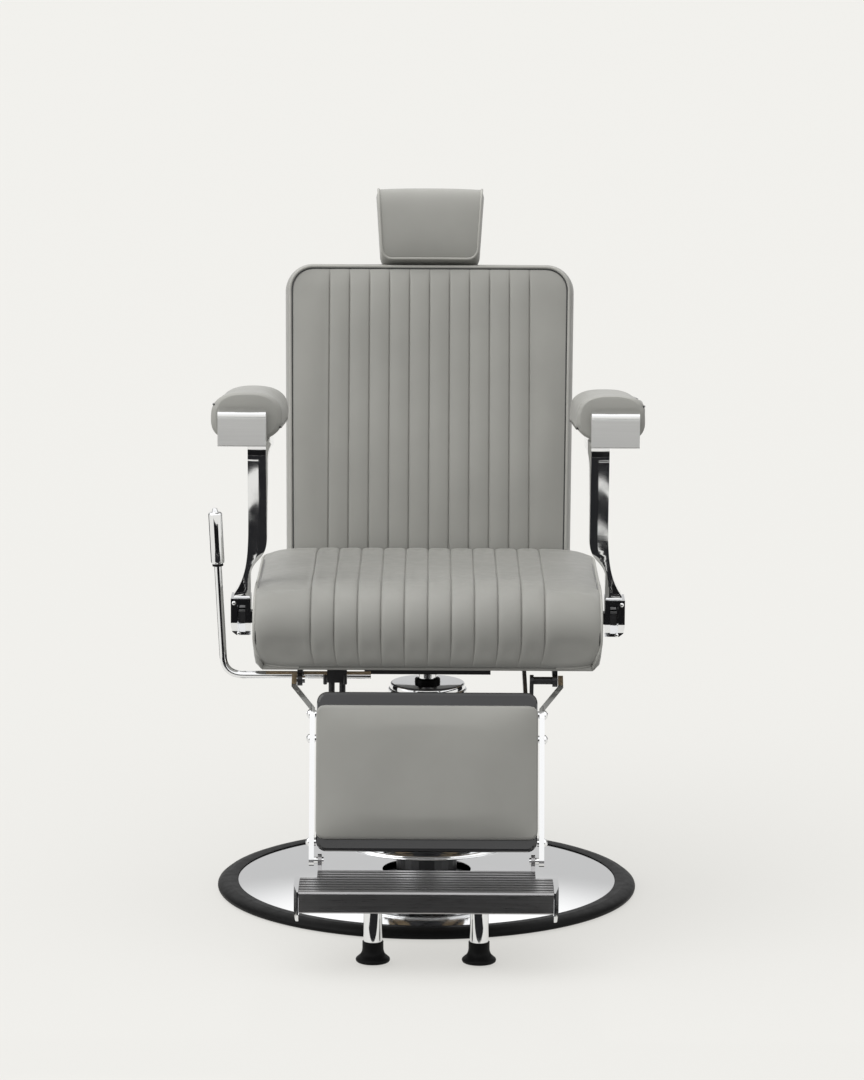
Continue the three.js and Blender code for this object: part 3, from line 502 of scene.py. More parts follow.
def seam_columns(seams, edge, pitch, fine):
    """Column places from -edge to edge: dense beside each seam, and beside the edges."""
    offsets = (0, 0.5, 1.1, 2.0, 3.6, 6.5, 11) if fine else (0, 6)
    found = set()
    for seam in seams:
        for offset in offsets:
            if offset < pitch / 2:
                found |= {seam - offset, seam + offset}
        found.add(seam + pitch / 2)
        found.add(seam - pitch / 2)
    inner = max([abs(s) for s in seams], default=0)
    count = 12 if fine else 6
    start = inner + pitch / 2 if seams else 0
    for k in range(count + 1):
        place = start + (edge - start) * math.sin(k / count * math.pi / 2)
        found |= {place, -place}
    ordered = sorted(round(x, 3) for x in found if abs(x) <= edge)
    kept = [ordered[0]]
    for x in ordered[1:]:
        if x - kept[-1] > COLUMN_GAP:
            kept.append(x)
    kept[-1] = edge
    return kept


def channel_puff(x, seams, pitch, height):
    """How far a sewn channel stands proud at x: flat on top, steep into its seams' narrow folds."""
    near = min(abs(x - seam) for seam in seams)
    reach = min(1.0, near / (0.5 * pitch))
    fold = SEAM_FOLD * math.exp(-((near / SEAM_HALF) ** 2))
    return height * (1 - (1 - reach) ** 3.4) - fold


class Quilt:
    """A boxed cushion: an outer face with sewn channels, a band round it and a flat rear face.

    outer(x, t) and inner(x, t) give points in millimetres for a column x and a row t from 0 to 1.
    """

    def __init__(self, outer, inner, edge, seams=(), pitch=0.0, rows=80, bulge=6.0, cap=5.0, place=level):
        self.outer = outer
        self.inner = inner
        self.edge = edge
        self.seams = list(seams)
        self.pitch = pitch
        self.rows = rows
        self.bulge = bulge
        self.cap = cap
        self.place = place

    def sheet(self):
        """The coarse sheet's columns, rows and how far the cloth solver moved them."""
        columns = seam_columns(self.seams, self.edge, self.pitch, False)
        rows = [k / SHEET_ROWS for k in range(SHEET_ROWS + 1)]
        points = [self.outer(x, t) for x in columns for t in rows]
        tall = len(rows)
        pinned = {i * tall + j for i, j in loop_of(len(columns), tall)}
        for i, x in enumerate(columns):
            if any(abs(x - seam) < 0.01 for seam in self.seams):
                pinned |= {i * tall + j for j in range(tall)}
        moved = relaxed(points, grid_faces(len(columns), tall), sorted(pinned), self.cap)
        return np.array(columns), np.array(rows), moved.reshape(len(columns), tall, 3)

    def build(self, name, material):
        columns = seam_columns(self.seams, self.edge, self.pitch, True)
        rows = [k / self.rows for k in range(self.rows + 1)]
        wide, tall = len(columns), len(rows)
        sheet_x, sheet_t, moved = self.sheet()
        outer = np.zeros((wide, tall, 3))
        inner = np.zeros((wide, tall, 3))
        for i, x in enumerate(columns):
            beside = np.array([
                [np.interp(x, sheet_x, moved[:, j, k]) for k in range(3)] for j in range(len(sheet_t))])
            for j, t in enumerate(rows):
                push = [np.interp(t, sheet_t, beside[:, k]) for k in range(3)]
                outer[i, j] = np.array(self.outer(x, t)) + push
                inner[i, j] = self.inner(x, t)
        border = loop_of(wide, tall)
        rim = np.array([outer[i, j] for i, j in border])
        foot = np.array([inner[i, j] for i, j in border])
        self.rim = rim
        self.outward = self.away(rim, foot)
        # A shallow band has little room to swell.
        room = np.minimum(1, np.linalg.norm(foot - rim, axis=1, keepdims=True) / BAND_FULL)
        points = list(outer.reshape(-1, 3)) + list(inner.reshape(-1, 3))
        faces = grid_faces(wide, tall) + grid_faces(wide, tall, wide * tall)
        rings = [[i * tall + j for i, j in border]]
        for k in range(1, BAND_STEPS):
            t = k / BAND_STEPS
            swell = self.bulge * room * math.sin(math.pi * t) ** 0.7
            rings.append(list(range(len(points), len(points) + len(border))))
            points += list(rim * (1 - t) + foot * t + self.outward * swell)
        rings.append([wide * tall + i * tall + j for i, j in border])
        around = len(border)
        for a, b in zip(rings, rings[1:]):
            faces += [(a[i], a[(i + 1) % around], b[(i + 1) % around], b[i]) for i in range(around)]
        placed = [self.place(p) for p in points]
        return from_faces(name, placed, faces, material, 0)

    def away(self, rim, foot):
        """The outward direction of the band at each point of the border."""
        middle = rim.mean(axis=0)
        depth = foot - rim
        mean_depth = foot.mean(axis=0) - middle
        mean_depth /= np.linalg.norm(mean_depth)
        along = np.roll(rim, -2, axis=0) - np.roll(rim, 2, axis=0)
        found = np.cross(along, depth + 3 * mean_depth)
        found /= np.maximum(np.linalg.norm(found, axis=1, keepdims=True), 1e-9)
        sign = np.sign(np.sum(found * (rim - middle)))
        found *= sign
        for _ in range(3):
            found = (np.roll(found, 1, axis=0) + found + np.roll(found, -1, axis=0)) / 3
        return found / np.linalg.norm(found, axis=1, keepdims=True)

    def rim_path(self, out=0.0, rise=0.0, keep=lambda p: True):
        """Points along the border, moved outwards and forwards, where keep allows."""
        middle = self.rim.mean(axis=0)
        toward = np.array([self.outer(0, 0.5)]) - middle
        forward = toward / np.linalg.norm(toward)
        moved = self.rim + self.outward * out + forward * rise
        return [self.place(p) for p, q in zip(moved, self.rim) if keep(q)]


def upholster(quilt, name, material, body, node):
    """Builds a quilt's cover and puts it in the place of its CAD cushion."""
    cushion = quilt.build(name, material)
    settle(cushion, body, "upholstery", node)


def thinned(path, gap):
    """A path whose neighbouring points are at least gap apart."""
    kept = [path[0]]
    for p in path[1:]:
        if (Vector(p) - Vector(kept[-1])).length >= gap:
            kept.append(p)
    return kept


# The back rest.
BACK_EDGE = 231
BACK_FOOT = 33
BACK_TOP = 555
BACK_CORNER = 38
BACK_FRONT, BACK_REAR = -37.5, 35
BACK_PITCH = 33.2
BACK_SEAMS = [k * BACK_PITCH for k in range(-5, 6)]


def back_height(x):
    """Top of the back's front panel at x: level, with round corners."""
    past = max(0.0, abs(x) - (BACK_EDGE - BACK_CORNER))
    return BACK_TOP - BACK_CORNER + math.sqrt(max(0.0, BACK_CORNER ** 2 - past ** 2))


def back_x(x, t):
    """The side panels narrow a little towards the foot of the back."""
    side = max(0.0, abs(x) - BACK_SEAMS[-1])
    return math.copysign(abs(x) - side * 0.085 * (1 - t), x)


def back_outer(x, t):
    z = BACK_FOOT + t * (back_height(x) - BACK_FOOT)
    across = 1 - (abs(x) / BACK_EDGE) ** 5
    upward = 1 - abs(2 * (z - BACK_FOOT) / (BACK_TOP - BACK_FOOT) - 1) ** 9
    lumbar = 2.5 * math.exp(-(((z - 190) / 110) ** 2))
    crown = (9.5 + lumbar) * across * upward
    puff = channel_puff(x, BACK_SEAMS, BACK_PITCH, 2.6) * min(1.0, upward * 1.5)
    drift = 0.5 * noise.noise(Vector((x / 60, z / 90, 3.1)))
    return (back_x(x, t), BACK_FRONT - crown - puff - drift * across, z)


def back_inner(x, t):
    z = BACK_FOOT - 2 + t * (back_height(x) - BACK_FOOT + 5)
    return (back_x(x, t) * 1.012, BACK_REAR, z)


def make_back():
    quilt = Quilt(back_outer, back_inner, BACK_EDGE, BACK_SEAMS, BACK_PITCH, 86, 8.0, 3.0, BACK)
    upholster(quilt, "back_cushion_cover", MATERIALS["upholstery"], "backrest", "back_cushion")
    welt = tube("back_welt", thinned(quilt.rim_path(0.8, 0.6), 2.5), 2.5, WELT_PAINTED_HIGHLIGHT, closed=True)
    trim = tube("back_trim", thinned(quilt.rim_path(-2.9, 1.0), 2.5), 1.25, TRIM, closed=True, sides=10)
    for piece in (welt, trim):
        settle(piece, "backrest", "upholstery")


# The seat, swept across its side view.
SEAT_EDGE = 270
SEAT_PITCH = 36.5
SEAT_SEAMS = [k * SEAT_PITCH for k in range(-5, 6)]
SEAT_CENTRE = np.array((-60.0, 470.0))
SEAT_ROUND = 64  # length of the round rear corners, seen from above
SEAT_ROUND_FROM = 140
SEAT_TUCK = 0.045  # share of the width lost below the front roll
SEAT_FOOT = (181, -281)  # rear and front of the underside


def seat_profile():
    """The side view from the foot of the rear face, over the top, to the foot of the front roll."""
    points = [np.array(p, float) for p in ((184, 424), (190, 448), (197, 476), (203, 505))]
    points += bezier((203, 505), (205, 520), (200, 527), (186, 527.5), 8)
    points += bezier((186, 527.5), (100, 530), (0, 533), (-90, 538), 20)
    points += bezier((-90, 538), (-160, 544), (-236, 551), (-271, 528), 34)
    points += bezier((-271, 528), (-290, 515), (-297, 497), (-297, 474), 18)
    points += bezier((-297, 474), (-297, 460), (-296, 450), (-294, 439), 8)
    points += bezier((-294, 439), (-292, 428), (-288, 423), (-281, 422), 8)
    return np.array(points)


SEAT_LINE = seat_profile()
SEAT_LENGTH = np.concatenate(([0], np.cumsum(np.linalg.norm(np.diff(SEAT_LINE, axis=0), axis=1))))


def along_seat(t):
    """(y, z) and the outward normal of the seat's side view at a share t of its length."""

    def at(s):
        return np.array([np.interp(s * SEAT_LENGTH[-1], SEAT_LENGTH, SEAT_LINE[:, k]) for k in (0, 1)])

    step = 0.006
    along = at(min(1, t + step)) - at(max(0, t - step))
    normal = np.array((along[1], -along[0]))
    return at(t), normal / np.linalg.norm(normal)


def seat_corner(x, y, z):
    """How much of the width is lost to the round rear corner: all of it on the rear face."""
    on_rear_face = y > 170 and z < 515
    behind = 1.0 if on_rear_face else min(1.0, max(0.0, (y - SEAT_ROUND_FROM) / SEAT_ROUND))
    return 0.13 * (1 - math.sqrt(1 - behind ** 2)) * (abs(x) / SEAT_EDGE) ** 4


def seat_width(x, y, z):
    """The seat pulls in below its front roll, and its rear corners are round in plan."""
    under = min(1.0, max(0.0, (472 - z) / 48)) if y < -200 else 0.0
    return 1 - SEAT_TUCK * under ** 2 - seat_corner(x, y, z)


def seat_outer(x, t):
    (y, z), normal = along_seat(t)
    side = min(1.0, max(0.0, (abs(x) - 212) / (SEAT_EDGE - 212)))
    pull = 1 - math.sqrt(1 - side ** 2)
    ends = min(1.0, 6 * t, 12 * (1 - t))
    puff = channel_puff(x, SEAT_SEAMS, SEAT_PITCH, 3.2) * ends * (1 - pull)
    base = SEAT_CENTRE + (np.array((y, z)) - SEAT_CENTRE) * (1 - np.array((0.03, 0.13)) * pull)
    lift = puff - 3.2 + 0.5 * noise.noise(Vector((x / 70, t * 7, 8.4))) * ends
    return (x * seat_width(x, y, z), *(base + normal * lift))


def seat_inner(x, t):
    """The underside lies below the outer face: at its two ends the rows close up to a fan."""
    rear, front = SEAT_FOOT
    (outer_y, outer_z), _ = along_seat(t)
    y = max(front + 40 * (1 - t), min(outer_y, rear - 40 * t))
    under = min(1.0, max(0.0, (-230 - y) / 50))
    return (x * (1 - SEAT_TUCK * under - seat_corner(x, outer_y, outer_z)), y, 420.2)


def make_seat():
    quilt = Quilt(seat_outer, seat_inner, SEAT_EDGE, SEAT_SEAMS, SEAT_PITCH, 120, 5.0, 3.5)
    # The seat cover takes the darker copy of the leather: painted shade.
    upholster(quilt, "seat_cushion_cover", SHADED_SEAT_LEATHER, "seat", "seat_cushion")
    for name, side in SIDES:
        def on_side(p, side=side):
            foot = 442 if p[1] > 100 else 424.5
            return p[0] * side > 200 and p[2] > foot

        paths = {
            "welt": (quilt.rim_path(0.6, 0, on_side), 2.5, WELT_PAINTED_HIGHLIGHT, 12),
            "trim": (quilt.rim_path(-3.1, 0, on_side), 1.25, TRIM, 10),
        }
        for kind, (path, radius, material, sides) in paths.items():
            piece = tube(f"seat_{kind}_{name}", thinned(path, 2.5), radius, material, sides=sides)
            settle(piece, "seat", "upholstery")


# The head rest: its face runs over the top, and side panels close it.
HEAD_EDGE = 86
HEAD_CORNER = 17
HEAD_REAR = (564, 684)  # foot and top of the flat rear


def head_profile():
    points = [np.array((-46.0, 569))]
    points += bezier((-46, 569), (-55, 586), (-58, 618), (-57, 650), 14)
    points += bezier((-57, 650), (-56, 672), (-50, 686), (-30, 688.5), 12)
    points += bezier((-30, 688.5), (-12, 690), (8, 689), (22, 686), 8)
    return np.array(points)


HEAD_LINE = head_profile()
HEAD_LENGTH = np.concatenate(([0], np.cumsum(np.linalg.norm(np.diff(HEAD_LINE, axis=0), axis=1))))


def head_outer(x, t):
    past = max(0.0, abs(x) - (HEAD_EDGE - HEAD_CORNER))
    skip = HEAD_CORNER - math.sqrt(max(0.0, HEAD_CORNER ** 2 - past ** 2))
    s = skip + t * (HEAD_LENGTH[-1] - skip)
    y, z = (float(np.interp(s, HEAD_LENGTH, HEAD_LINE[:, k])) for k in (0, 1))
    taper = 1 - 0.085 * (1 - (z - 570) / 120)
    crown = 3.0 * (abs(x) / HEAD_EDGE) ** 2.4
    drop = 1.4 * (abs(x) / HEAD_EDGE) ** 3 * max(0.0, (z - 660) / 30)
    return (x * taper, y + crown, z - drop)


def head_inner(x, t):
    low, high = HEAD_REAR
    z = low + t * (high - low)
    return (x * (1 - 0.1 * (1 - t)) * 0.98, 24.6, z)


def make_headrest():
    quilt = Quilt(head_outer, head_inner, HEAD_EDGE, rows=44, bulge=5.5, cap=3.0, place=BACK)
    upholster(quilt, "headrest_cushion_cover", MATERIALS["upholstery"], "headrest", "headrest_cushion")

    def in_front(p):
        return p[1] < 18

    border = quilt.rim_path(0.3, 0.4, in_front)
    # The border starts on the lower edge: the stretch behind the top is left out, so it is joined there.
    rear = [k for k, p in enumerate(quilt.rim) if not in_front(p)]
    first = rear[0]
    path = border[first:] + border[:first]
    settle(tube("headrest_welt", thinned(path, 2.2), 2.1, WELT_PAINTED_HIGHLIGHT), "headrest", "upholstery")


# The leg rest's pad.
PAD_HALF = 170
PAD_CORNER = 11
PAD_LOW, PAD_HIGH = -251, -47
PAD_FRONT, PAD_REAR = -91, -75.2


def pad_rows(x, t, grow=0.0):
    past = max(0.0, abs(x) - (PAD_HALF - PAD_CORNER))
    skip = PAD_CORNER - math.sqrt(max(0.0, PAD_CORNER ** 2 - past ** 2))
    low, high = PAD_LOW + skip - grow, PAD_HIGH - skip + grow
    return low + t * (high - low)


def pad_outer(x, t):
    z = pad_rows(x, t)
    middle = (PAD_LOW + PAD_HIGH) / 2
    across = 1 - (abs(x) / PAD_HALF) ** 7
    upward = 1 - (abs(z - middle) / ((PAD_HIGH - PAD_LOW) / 2)) ** 6
    return (x, PAD_FRONT - 9.5 * across * upward, z)


def pad_inner(x, t):
    return (x, PAD_REAR, pad_rows(x, t))


def make_legrest_pad():
    quilt = Quilt(pad_outer, pad_inner, PAD_HALF, rows=60, bulge=3.0, cap=2.0, place=LEG)
    # The pad takes the darker copy of the leather: painted shade.
    upholster(quilt, "legrest_pad_cover", SHADED_SEAT_LEATHER, "legrest", "legrest_pad")


# ---- arm pads -------------------------------------------------------------------------------------

ARM_SLOPE = -7
ARM_PAD_FRONT = -203
ARM_PAD_LOW = 766.4
ARM_PAD_LENGTH = 374
ARM_PAD_X = 284.8
ARM_PAD_HALF = 56  # half the pad's width
ARM_PAD_MIDDLE = 37  # height of the widest place over the pad's foot
ARM_PAD_UP, ARM_PAD_DOWN = 41, 36.5  # from there to the top and to the foot
ARM_AROUND = 72  # points round the pad
ARM_SEAMS = (5, ARM_AROUND // 2 + 3)  # which of them lie on the two seams
ARM_SEAM_TURN = 44  # the seams start to round the pad's rear this far before its end


def arm_place(side):
    turn = Matrix.Rotation(math.radians(ARM_SLOPE), 3, "X")

    def place(p):
        moved = turn @ Vector((p[0], p[1], p[2])) + Vector((0, ARM_PAD_FRONT, ARM_PAD_LOW))
        return Vector((side * moved.x, moved.y, moved.z))

    return place


def arm_section(angle, y):
    """A point of the pad's oval section: full above, drawn in below on the side of the sitter."""
    front, rear = 10, 42
    near = min(1.0, y / front)
    far = min(1.0, (ARM_PAD_LENGTH - y) / rear)
    ends = (1 - (1 - near) ** 2.2 * 0.16) * math.sqrt(max(0.0, 1 - (1 - far) ** 2.3))
    power = 2 / 2.7
    c, s = math.cos(angle), math.sin(angle)
    wide = math.copysign(abs(c) ** power, c) * ARM_PAD_HALF
    high = math.copysign(abs(s) ** power, s) * (ARM_PAD_UP if s > 0 else ARM_PAD_DOWN)
    if s < 0 and c < 0:
        wide *= 1 - 0.2 * abs(s) ** 1.6
    tall = ARM_PAD_MIDDLE + high * (0.35 + 0.65 * ends)
    return (ARM_PAD_X + wide * ends, y, tall)


def arm_seam_path(shaped, stations):
    """The line of both seams: along the upper one, round the rear end and back along the lower one."""
    first, last = ARM_SEAMS
    turn = ARM_PAD_LENGTH - ARM_SEAM_TURN
    spots = [(first, turn * k / 60) for k in range(1, 60)]
    for k in range(41):
        share = math.pi * k / 40
        column = first + (last - first) * (1 - math.cos(share)) / 2
        spots.append((column, turn + 0.93 * ARM_SEAM_TURN * math.sin(share)))
    spots += [(last, turn * k / 60) for k in range(59, 0, -1)]
    path = []
    for i, y in spots:
        k = float(np.interp(y, stations, range(len(stations))))
        row, column = min(int(k), len(stations) - 2), int(i)
        near, far = (shaped[(row + n) * ARM_AROUND + column].lerp(
            shaped[(row + n) * ARM_AROUND + (column + 1) % ARM_AROUND], i - column) for n in (0, 1))
        path.append(near.lerp(far, k - row))
    return path


def make_arm_pad(name, side):
    along, lip = 64, 0.4
    place = arm_place(side)
    inside = ARM_PAD_LENGTH - 2 * lip
    stations = [lip + inside * (1 - math.cos(math.pi * k / (along - 1))) / 2 for k in range(along)]
    angles = [2 * math.pi * k / ARM_AROUND for k in range(ARM_AROUND)]
    flat = [arm_section(a, y) for y in stations for a in angles]
    faces = ring_faces(along, ARM_AROUND, False)
    low = [k for k, p in enumerate(flat) if p[2] < 6]
    ends = list(range(ARM_AROUND)) + list(range((along - 1) * ARM_AROUND, along * ARM_AROUND))
    sewn = [k for k in range(1, along - 1) if stations[k] < ARM_PAD_LENGTH - ARM_SEAM_TURN]
    seams = [k * ARM_AROUND + i for k in sewn for i in ARM_SEAMS]
    placed = [place(p) for p in flat]
    moved = relaxed(placed, faces, sorted(set(low + ends + seams)), 2.5)
    shaped = [Vector(p) + Vector(m) for p, m in zip(placed, moved)]
    path = arm_seam_path(shaped, stations)
    groove = 1.1
    for k in sewn:
        middle = sum((shaped[k * ARM_AROUND + i] for i in range(ARM_AROUND)), Vector()) / ARM_AROUND
        for i in ARM_SEAMS:
            spot = shaped[k * ARM_AROUND + i]
            shaped[k * ARM_AROUND + i] = spot + (middle - spot).normalized() * groove
    pad = from_faces(f"arm_pad_cover_{name}", shaped, faces, MATERIALS["upholstery"], 0)
    finer = pad.modifiers.new("finer", "SUBSURF")
    finer.levels = finer.render_levels = 1
    baked(pad)
    settle(pad, "seat", "upholstery", f"arm_pad_{name}")
    settle(tube(f"arm_welt_{name}", thinned(path, 2.5), 1.9, TRIM), "seat", "upholstery")


# ---- metalwork ------------------------------------------------------------------------------------


def arc(centre, radius, start, stop, steps):
    """Points [r, z] of a profile's round corner, in degrees."""
    found = []
    for k in range(steps + 1):
        a = math.radians(start + (stop - start) * k / steps)
        found.append((centre[0] + radius * math.cos(a), centre[1] + radius * math.sin(a)))
    return found


def make_base():
    ring = [(288, 1.5), (334, 1.5)] + arc((334, 7), 5.5, -80, 30, 8)
    ring += [(333, 14.2), (328, 16.2)] + arc((321, 11.5), 6, 70, 100, 4)
    ring += [(309, 17.2), (307, 16.4), (307, 13.4), (288, 13.4)]
    turned("base_ring_moulded", ring, "base", "rubber", "base_ring", steps=192)
    rim, hole, steps = 306, 72, 36
    top = []
    for k in range(steps + 1):
        share = k / steps
        top.append((rim + (hole - rim) * share, 15.2 + 16 * math.sin(share * math.pi / 2)))
    below = [(r, z - 1.6) for r, z in reversed(top)]
    turned("base_cover_dish", top + below, "base", "chrome", "base_cover", steps=192)


def make_pump():
    outer = [(21, 342), (57, 342)] + arc((57, 338.5), 3.5, 90, 10, 6)
    outer += [(61, 336), (61, 333.5)] + arc((60.5, 330), 3.5, 80, 0, 5)
    steps = 40
    for k in range(steps + 1):
        turn = k / steps * math.pi / 2
        outer.append((64 + 79 * (1 - math.cos(turn)), 230 - 142 * math.sin(turn)))
    rim = arc((143, 84), 4, 60, -90, 8)
    skirt = outer[14:-1]  # from the neck down
    inner = [(r - 2, z - 2) for r, z in reversed(skirt)] + [(59, 340), (21, 340)]
    turned("pump_cover_trumpet", outer + rim + inner, "base", "chrome", "pump_cover", steps=160)
    wiper = [(16.9, 336.5), (20.5, 336.5), (20.5, 346)] + arc((18.8, 347), 1.7, 0, 90, 4) + [(16.9, 350)]
    turned("wiper_ring", wiper, "base", "rubber", "pump_wiper", steps=64)
    rod = [(0, 120), (15.5, 120), (16.5, 121), (16.5, 372.2), (0, 372.2)]
    turned("piston_rod_polished", rod, "piston", "chrome", "piston_rod", steps=96)
    head = [(0, 372.7), (50, 372.7), (54, 375.5)] + arc((53.5, 383.7), 1.5, 0, 80, 4) + [(0, 385.6)]
    turned("piston_head_disc", head, "piston", "frame_black", "piston_head", steps=96)


def make_lever():
    y, z, bend, start, stand = -200, 395, 32, -290, -322
    path = [(x, y, z) for x in range(-89, start, -8)] + [(start, y, z)]
    for k in range(1, 13):
        t = k / 12
        first, middle, last = (1 - t) ** 2, 2 * t * (1 - t), t * t
        path.append((start * first + stand * (middle + last), y, z * (first + middle) + (z + bend) * last))
    foot, top = Vector((stand, y, z + bend)), Vector((-330, y, 572))
    path += [foot.lerp(top, k / 12) for k in range(1, 13)]
    rod = tube("lever_rod_bent", path, 6, MATERIALS["chrome"], sides=28, normals=[(0, 1, 0)] * len(path))
    settle(rod, "lever", "chrome", "lever_rod")
    grip = [(0, 0.2), (8.5, 0.2), (10.4, 2), (11, 5), (11, 79)] + arc((7.5, 79), 3.5, 0, 90, 6)
    grip += [(5, 82.6), (4.5, 85), (3.5, 88.5), (0, 89.2)]
    axis = ((-330, y, 572.3), (-0.0511, 0, 1))
    turned("lever_grip_turned", grip, "lever", "chrome", "lever_grip", steps=64, axis=axis)
    collar = [(6.2, -4), (8.6, -3.2), (8.6, 0), (6.2, 0)]
    turned("lever_collar", collar, "lever", "rubber", steps=48, axis=axis)


def rail_top(y):
    """Height of the arm's rail, which falls to the rear from (-205, 766)."""
    return 766 + (y + 205) * math.tan(math.radians(ARM_SLOPE))


def make_arm_frame(name, side):
    """The arm casting: where its side view and its front view agree, with its edges rounded."""
    foot, front, rear, deep = 511.4, -204.7, 165, 18
    view = [(-166, foot)]
    view += bezier((-166, foot), (-172, 600), (-186, 680), (front, rail_top(front) - deep - 4), 24)
    view += [(front, rail_top(front)), (rear, rail_top(rear)), (rear, rail_top(rear) - deep + 6)]
    view += [(rear - 2, rail_top(rear) - deep + 2), (rear - 7, rail_top(rear) - deep + 0.4)]
    view += [(20, rail_top(20) - deep)]
    view += bezier((20, rail_top(20) - deep), (-80, rail_top(-80) - deep), (-136, 690), (-132, 600), 24)
    view += [(-124, foot)]
    face = [(280, foot), (280, 545)]
    face += bezier((280, 545), (279, 575), (254, 572), (254, 606), 16)
    face += [(254, 780), (283, 780), (283, 640)]
    face += bezier((283, 640), (283, 580), (286, 545), (306, foot + 6), 20) + [(306, foot)]
    body = prism(f"arm_casting_{name}", view, "x", side * 250, side * 312, MATERIALS["chrome"])
    tool = prism("tool", [(side * x, z) for x, z in face], "y", -230, 200, MATERIALS["chrome"])
    meet = body.modifiers.new("meet", "BOOLEAN")
    meet.operation = "INTERSECT"
    meet.solver = "EXACT"
    meet.object = tool
    baked(body)
    bpy.data.objects.remove(tool)
    mended(body.data, 1e-5)
    add_bevel(body, 2.2, 3, 40)
    baked(body)
    body.data.materials.clear()
    body.data.materials.append(MATERIALS["chrome"])
    body.data.polygons.foreach_set("use_smooth", [True] * len(body.data.polygons))
    body.data.set_sharp_from_angle(angle=math.radians(36))
    settle(body, "seat", "chrome", f"arm_frame_{name}")


def dome(name, place, direction, radius, height, body, slot="chrome"):
    """A small round-headed screw or bolt, with a shallow drive socket."""
    rise = height * 0.45
    profile = [(0, -1), (radius, -1), (radius, 0.3)]
    profile += [(radius * math.cos(a), 0.3 + (height - 0.3) * math.sin(a)) for a in
                (math.radians(12 * k) for k in range(1, 6))]
    socket = radius * 0.36
    profile += [(socket, height * 0.93), (socket * 0.94, height - rise), (0, height - rise)]
    turned(name, profile, body, slot, steps=32, axis=(place, direction))


def make_screws():
    rearwards = (0, 1, -0.26)
    for name, side in SIDES:
        for k, z in enumerate((-58, -96, -256)):
            place = LEG((side * 181.5, -62, z))
            dome(f"legrest_bolt_{name}_{k}", place, (side, 0, 0), 7.4, 5.6, "legrest")
        for k, (x, z) in enumerate(((298, 455.5), (306, 504))):
            dome(f"knuckle_screw_{name}_{k}", (side * x, -172, z), (0, -1, 0), 3.2, 1.8, "seat")
        dome(f"back_pivot_nut_{name}", (side * 207.4, 245, 425), (side, 0, 0), 10, 5, "backrest")
        for k, z in enumerate((90, 235, 380)):
            place = BACK((side * 172, 67.2, z))
            dome(f"back_strap_bolt_{name}_{k}", place, (0, 1, 0), 3.6, 2.4, "backrest")
        for k, z in enumerate((70, 300, 525)):
            place = BACK((side * 214, 47, z))
            dome(f"shell_screw_{name}_{k}", place, rearwards, 4, 2, "backrest", "frame_black")
    for k, x in enumerate((-27.6, 27.6)):
        for j, z in enumerate((402, 528)):
            dome(f"sleeve_screw_{k}_{j}", BACK((x, 64, z)), rearwards, 3.4, 2, "backrest")
    peg = [(0, 383), (2.4, 383), (3, 384), (3, 398), (0, 398)]
    for k, x in enumerate((-161, -129.5)):
        turned(f"lever_peg_{k}", peg, "seat", "frame_black", x=x, y=-214.5, steps=24)


def make_feet():
    for name, side in SIDES:
        x, y = side * 81.5, -472
        pipe = [(0, 28.4), (13.6, 28.4), (14.5, 29.4), (14.5, 122.6), (0, 122.6)]
        place = {"x": x, "y": y, "steps": 64}
        turned(f"foot_post_{name}", pipe, "footplate", "chrome", f"footplate_tube_{name}", **place)
        cup = [(0, 3), (22, 3)] + arc((22.5, 7), 4, -90, 40, 6)
        cup += [tuple(p) for p in bezier((24.5, 11), (19, 14), (16.6, 18), (16.3, 25), 8)]
        cup += [(16.2, 34)] + arc((15.6, 35.2), 0.7, 0, 90, 3) + [(14.8, 36), (14.8, 28.2), (0, 28.2)]
        turned(f"foot_cup_{name}", cup, "footplate", "rubber", f"footplate_foot_{name}", **place)


def dress_nodes():
    """Every CAD node that still shows keeps its shape and gets its finish."""
    wide = {"legrest_shell": 0, "base_weight": 1.5, "footplate_tread": 0.45, "pump_reservoir": 0.8,
            "arm_knuckle_left": 2.6, "arm_knuckle_right": 2.6,
            "ashtray_box_left": 1, "ashtray_box_right": 1}
    for name, obj in NODES.items():
        if not obj.hide_render:
            dress(name, wide.get(name, 0.7 if SLOT_OF[name] == "chrome" else 0.5))


# ---- studio ---------------------------------------------------------------------------------------

PAPER = (0.2, 0.2, 0.195)
FLOOR_GLOW = (0.56, 0.552, 0.528)
CAMERA_PLACE = (0.006, -8, 2.0515)  # metres
CAMERA_LENS = 168.6
CAMERA_TILT = 79.544  # degrees up from straight down
CAMERA_ROLL = 0.3
KEY_FROM = (-1.4, -0.6, 1.25)


